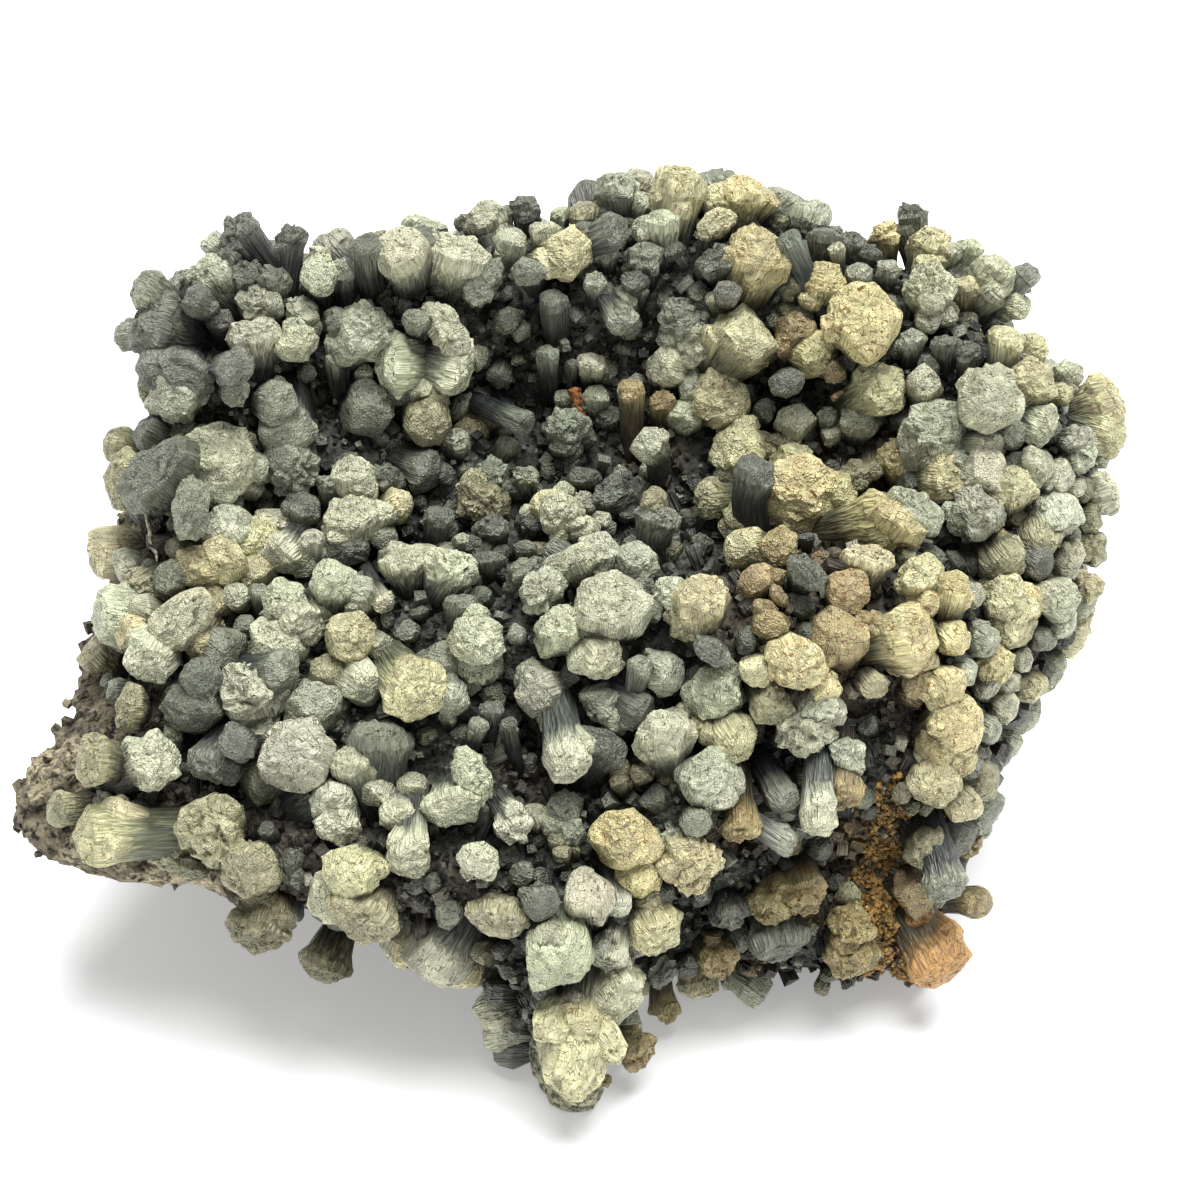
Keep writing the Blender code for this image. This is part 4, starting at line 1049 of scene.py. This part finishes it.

# The bundles that the picture doesn't show one by one: small dark ones between the others, their
# darkness partly painted shade, and the coat of large and small ones on the back, the sides and the
# underside, grown just like them.
# Each stands on the crust about square to it, one in each cell of a coarse grid.
DARK_HOLLOWS = [(39, 13, 4), (9.5, 49, 4), (34.5, 25, 4), (-1, 65, 5), (41, -3, 5)]
HIDDEN_CELL = 6.2  # the cells of the coat that isn't in sight
BETWEEN_CELL = 3.3
BETWEEN_SHARE = 0.46  # how many of the cells between the others have a bundle
DARKER_AS_PAINTED_SHADE = {"g": "G", "e": "G", "Y": "G", "y": "t", "w": "G", "p": "t", "b": "G", "o": "G", "t": "G"}


def one_a_cell(points, size, rng):
    """A random one of the points in each cube of that size."""
    points = points[rng.permutation(len(points))]
    cells = np.floor(points / size).astype(int)
    return points[np.unique(cells, axis=0, return_index=True)[1]]


def in_sight(points):
    """Whether the body itself leaves each point in the camera's sight, to within 4 mm."""
    sight = points - EYE
    length = np.linalg.norm(sight, axis=1)
    met = walk_in(unit(sight), 0.0)
    return np.linalg.norm(met - EYE, axis=1) > length - 4.0


def grown_on(spots, width, lift, looks, rng):
    """Bundles on the crust near some spots: each cap stands `lift` out, roughly square to the body."""
    normals = body_normals(spots)
    caps = spots + (lift - body_distance(spots))[:, None] * normals
    axes = unit(normals + rng.normal(0, 0.32, spots.shape))
    return rooted(caps, axes, width, looks)


def clear_of(bundles, others, share):
    """Keeps bundles whose caps aren't within a share of the joint width of another's, nor low down."""
    gaps = np.linalg.norm(bundles["cap"][:, None] - others["cap"][None], axis=-1)
    joint = 0.5 * (bundles["width"][:, None] + others["width"][None])
    return some_of(bundles, (gaps > share * joint).all(axis=1) & (bundles["cap"][:, 2] > 1.5))


fill_rng = np.random.default_rng(77)
spots = one_a_cell(druse_points, HIDDEN_CELL, fill_rng)
spots = spots[~in_sight(spots)]
width = fill_rng.uniform(3.6, 7.2, len(spots))
tones = fill_rng.choice(list("ggeeGYYdt"), len(spots))
looks = [tone + kind for tone, kind in zip(tones, fill_rng.choice(list("ccmmffkn"), len(spots)))]
hidden = clear_of(grown_on(spots, width, 0.35 * width, looks, fill_rng), seen, 0.75)
bundle_halves("bundles_behind", hidden, middle=8, rows=12, columns=15, seed=40)

spots = one_a_cell(druse_points, BETWEEN_CELL, fill_rng)
shown = in_sight(spots)
bare = near_spots(spots, DARK_HOLLOWS + OCHRE_SPOTS + PALE_SPOTS) > 0.5
kept = np.where(shown, ~bare, near_spots(spots, PALE_SPOTS) < 0.3)
kept = kept & (fill_rng.uniform(0, 1, len(spots)) < BETWEEN_SHARE)
spots, shown = spots[kept], shown[kept]
width = fill_rng.uniform(1.7, 3.6, len(spots))
nearest = np.argmin(np.linalg.norm(spots[:, None] - seen["cap"][None], axis=-1), axis=1)

# Most take a darker tone than their nearest neighbour's, a painted shade between the large bundles; one
# random number gives tone and kind
looks = []
for is_shown, near, odd in zip(shown, nearest, fill_rng.uniform(0, 1, len(spots))):
    tone = seen["look"][near][0] if is_shown else "gGedt"[int(5 * odd)]
    tone = DARKER_AS_PAINTED_SHADE.get(tone, tone) if odd < 0.78 else tone
    looks.append(tone + "ckfnfscs"[int(797 * odd) % 8])
lift = np.where(shown, fill_rng.uniform(-1.3, 0.5, len(spots)), 0.8)
small = clear_of(grown_on(spots, width, lift, looks, fill_rng), seen, 0.45)
small = clear_of(small, hidden, 0.5)
bundle_halves("bundles_between", small, middle=4, rows=9, columns=9, seed=41)

# Single crystals. Square-cut blocks and stubby prisms stud the ground between the bundles, and
# grains of a few tenths of a millimetre lie between those. Each is a box with its corners pushed
# about, with painted shade: dark at its foot, paler on top and darker near the ground.
BOX = np.array(list(itertools.product((-1, 1), repeat=3)), float)
BOX_FACES = np.array([(0, 1, 3, 2), (4, 6, 7, 5), (0, 4, 5, 1), (2, 3, 7, 6), (0, 2, 6, 4), (1, 5, 7, 3)])

# For each kind: the size of the cells that have one, its least and greatest size, its length over
# its width, and how far it stands out
DRUSE_CRYSTALS = {"blocks": (2.1, 0.6, 1.6, 1.8, 0.2), "grains": (1.35, 0.35, 0.95, 1.2, 0.1)}


def crystal_piece(name, middles, sizes, long, colours, stain, rng, on_rock=False):
    """Boxes at the middles: corners (+-1, +-1, +-long) by half the size, each pushed about.

    The long axis stands about square to the ground there, turned off it by a random tilt.
    """
    n = len(middles)
    up = unit(body_normals(middles) + rng.normal(0, 2.0 if on_rock else 0.45, (n, 3)))
    side = unit(np.cross(up, rng.normal(0, 1, (n, 3))))
    turn = np.stack([side, np.cross(up, side), up], axis=1)
    shape = rng.uniform(0.7, 1.1, n), rng.uniform(0.7, 1.1, n), long * rng.uniform(0.7, 1.3, n)
    own = BOX * (np.stack(shape, axis=1) * sizes[:, None] / 2)[:, None]
    own = own + rng.normal(0, 0.05, (n, 8, 3)) * sizes[:, None, None]
    points = middles[:, None] + np.einsum("nij,nkj->nki", turn.transpose(0, 2, 1), own)
    points[..., 2] = np.maximum(points[..., 2], TABLE_GAP)
    faces = (8 * np.arange(n)[:, None, None] + BOX_FACES).reshape(-1, 4)
    piece = make_piece(name, points.reshape(-1, 3), [faces], smooth=False)
    # Painted shade: lower corners at 0.35, and every corner darker the nearer the ground
    shade = np.where(BOX[:, 2] > 0, 1.0, 0.35) * np.clip(0.75 + 0.22 * body_distance(points), 0.25, 1.0)
    give(piece, "tint", (colours[:, None] * shade[..., None]).reshape(-1, 3))
    give(piece, "own", (own + 40.0 * rng.uniform(0, 1, (n, 1, 3))).reshape(-1, 3))
    give(piece, "stain", np.repeat(stain, 8))
    give(piece, "cap", np.full(8 * n, 0.8))
    if on_rock:
        fit(piece, ROCK_MATERIAL, "matrix")
    else:
        fit(piece, BUNDLE_MATERIAL, "prehnite")


grain_rng = np.random.default_rng(91)
for name, (cell, least, greatest, long, lift) in DRUSE_CRYSTALS.items():
    middles = one_a_cell(druse_points + grain_rng.normal(0, 0.35, druse_points.shape), cell, grain_rng)
    middles = middles[grain_rng.uniform(0, 1, len(middles)) < np.where(in_sight(middles), 0.75, 0.1)]
    bare = PALE_SPOTS + SAND_SPOTS if name == "blocks" else PALE_SPOTS
    middles = middles[near_spots(middles, bare) < 0.3]
    middles = middles + lift * body_normals(middles)
    sizes = least + (greatest - least) * grain_rng.uniform(0, 1, len(middles)) ** 1.6
    pale = grain_rng.uniform(0, 1, (len(middles), 1)) ** 1.8
    colours = druse_tints(middles) * (0.5 + 1.2 * pale) + linear(200, 202, 180) * 0.9 * pale**3
    rusty = 0.6 * near_spots(middles, OCHRE_SPOTS + RUST_SPOTS)
    crystal_piece(f"druse_{name}", middles, sizes, long, colours, rusty, grain_rng)

# Sand. Ochre grit has been washed down the lower right of the crust, and sticks there in a band.
# The grains are single boxes a few tenths of a millimetre wide, set close on the ground.
SAND_CELL = 0.42
SAND_TRIES = 10  # how many random places round each ground point a grain may take
sand = np.repeat(druse_points[near_spots(druse_points, SAND_SPOTS) > 0.1], SAND_TRIES, axis=0)
sand = one_a_cell(sand + grain_rng.normal(0, 0.5, sand.shape), SAND_CELL, grain_rng)
sand = sand[near_spots(sand, SAND_SPOTS) > grain_rng.uniform(0.2, 1.0, len(sand))]
sand = sand[in_sight(sand)]
sand = sand - (crust_distance(sand) - 0.1)[:, None] * body_normals(sand)
sizes = grain_rng.uniform(0.25, 0.6, len(sand))
yellow = grain_rng.uniform(0, 1, (len(sand), 1))
# Painted light: the sand's colours are raised 1.8 times, to lift it out of the shade of its hollow and of
# its boxes' painted shade
sand_colours_lifted_as_painted_light = 1.8 * mixed(linear(132, 112, 70), linear(220, 166, 84), yellow)
crystal_piece("ochre_sand", sand, sizes, 1.0, sand_colours_lifted_as_painted_light, 0 * sizes, grain_rng)

# Rootlets. Thin dead roots have grown into two cracks of the crust, and a pale one lies on its left
# edge. Each is a tube along a bent line over the crystals, knotty and thinner towards its end.

# For each: its bends (across and up the picture, mm), its radius at the two ends, and its colour
ROOTLETS = {
    "rootlet_brown": (
        ((-0.8, 58.6), (-0.3, 57.2), (-0.5, 56.2), (0.3, 55.0), (0.7, 54.0)), 0.75, 0.2, (142, 90, 46)
    ),
    "rootlet_beige": (((31.6, 57.0), (32.2, 57.5), (33.1, 58.1)), 0.4, 0.25, (196, 158, 128)),
    "rootlet_pale": (
        ((-54.8, 44.2), (-54.0, 42.0), (-53.9, 39.5), (-52.8, 37.0)), 0.28, 0.16, (206, 198, 172)
    ),
}
ROOTLET_STAND = 2.6  # how far over the body they lie
ROOTLET_RINGS = 26
ROOTLET_SIDES = 8


def rootlet(name, path, thick, thin, colour):
    """A tube: rings of points round a line that is walked in to lie just over the body."""
    bends = walk_in(sight_lines(*np.array(path).T), ROOTLET_STAND)
    share = np.linspace(0, len(bends) - 1, ROOTLET_RINGS)
    line = np.stack([np.interp(share, np.arange(len(bends)), values) for values in bends.T], axis=1)
    line = line + 0.25 * np.stack([lattice_noise(line + 7.0 * k, 1.1, 51) for k in range(3)], axis=1)
    along = unit(np.gradient(line, axis=0))
    side = unit(np.cross(along, TOWARDS_EYE))
    radius = np.linspace(thick, thin, ROOTLET_RINGS) * (1 + 0.25 * lattice_noise(line, 0.7, 52))
    radius[[0, -1]] *= 0.3
    turns = np.linspace(0, 2 * math.pi, ROOTLET_SIDES, endpoint=False)[:, None]
    ring = np.cos(turns) * side[:, None] + np.sin(turns) * np.cross(side, along)[:, None]
    tube = line[:, None] + radius[:, None, None] * ring
    points = np.concatenate([tube.reshape(-1, 3), line[:1], line[-1:]])
    rings = np.arange(ROOTLET_RINGS * ROOTLET_SIDES).reshape(ROOTLET_RINGS, ROOTLET_SIDES)
    after = np.roll(rings, -1, axis=1)
    quads = np.stack([rings[:-1], rings[1:], after[1:], after[:-1]], axis=-1).reshape(-1, 4)
    first = np.full(ROOTLET_SIDES, rings.size)
    start_fan = np.stack([after[0], first, rings[0]], axis=1)
    end_fan = np.stack([rings[-1], first + 1, after[-1]], axis=1)
    piece = make_piece(name, points, [quads, start_fan, end_fan])
    give(piece, "tint", linear(*colour) * (0.7 + 0.3 * lattice_noise(points, 0.5, 53))[:, None])
    fit(piece, DRUSE_MATERIAL, "prehnite")


for name, values in ROOTLETS.items():
    rootlet(name, *values)

# Chips. The bare rock broke into angular splinters and crumbs that still sit on it, wherever the
# druse doesn't cover it. They are flat boxes of the rock's own colours, turned any way.
CHIP_CELL = 2.2
chips = one_a_cell(rock_points, CHIP_CELL, grain_rng)
chips = chips[(crust_distance(chips) > 0.2) & (chips[:, 2] > 0.8)]
chips = chips[body_normals(chips)[:, 2] > -0.2]
sizes = 0.35 + 1.5 * grain_rng.uniform(0, 1, len(chips)) ** 3
chip_colours = 1.25 * rock_tints(chips)
crystal_piece("rock_chips", chips, sizes, 0.7, chip_colours, 0 * sizes, grain_rng, on_rock=True)

# The floor is a plain pale sheet that glows faintly itself. The light is that of a light tent: the
# same from all round, with one broad soft lamp above, a sun whose disc is 45 degrees across.
FLOOR_HALF = 3000.0
floor_material, floor_tree, floor_shader = new_material("pale_floor")
floor_shader.inputs["Base Color"].default_value = (0.97, 0.97, 0.97, 1)
floor_shader.inputs["Roughness"].default_value = 0.7
floor_shader.inputs["Emission Color"].default_value = (1, 1, 1, 1)
floor_shader.inputs["Emission Strength"].default_value = 0.3
floor_points = FLOOR_HALF * np.array([(-1, -1, 0), (1, -1, 0), (1, 1, 0), (-1, 1, 0)])
floor = make_piece("floor", floor_points, [np.array([[0, 1, 2, 3]])])
floor.data.materials.append(floor_material)

world = bpy.data.worlds.new("light_tent")
world.use_nodes = True
background = world.node_tree.nodes["Background"]
background.inputs["Color"].default_value = (1, 1, 1, 1)
seen_by_camera = add_node(world.node_tree, "ShaderNodeLightPath").outputs["Is Camera Ray"]
strength = ramp(world.node_tree, seen_by_camera, 0.0, 1.0, 0.42, 1.0)
world.node_tree.links.new(strength, background.inputs["Strength"])
world.cycles.sampling_method = "NONE"
bpy.context.scene.world = world
bpy.context.scene.view_settings.view_transform = "Standard"
bpy.context.scene.cycles.max_bounces = 1


def aim(item, place, target):
    """Puts a lamp or camera at a place, looking at a target; both in mm."""
    item.location = Vector((place + PLACE_SHIFT) * MM)
    item.rotation_euler = Vector(target - place).to_track_quat("-Z", "Y").to_euler()
    bpy.context.scene.collection.objects.link(item)


lamp = bpy.data.lights.new("lamp_above", "SUN")
lamp.energy = 4.6
lamp.angle = math.radians(45.0)
aim(bpy.data.objects.new("lamp_above", lamp), np.array((70.0, 60.0, 640.0)), np.array((0.0, 0.0, 35.0)))

camera = bpy.data.cameras.new("camera")
camera.sensor_width = 36.0
camera.lens = 96.0
camera.clip_start = 0.01
eye = bpy.data.objects.new("camera", camera)
aim(eye, EYE, VIEW_MIDDLE[0] * ACROSS + VIEW_MIDDLE[1] * UP)
bpy.context.scene.camera = eye
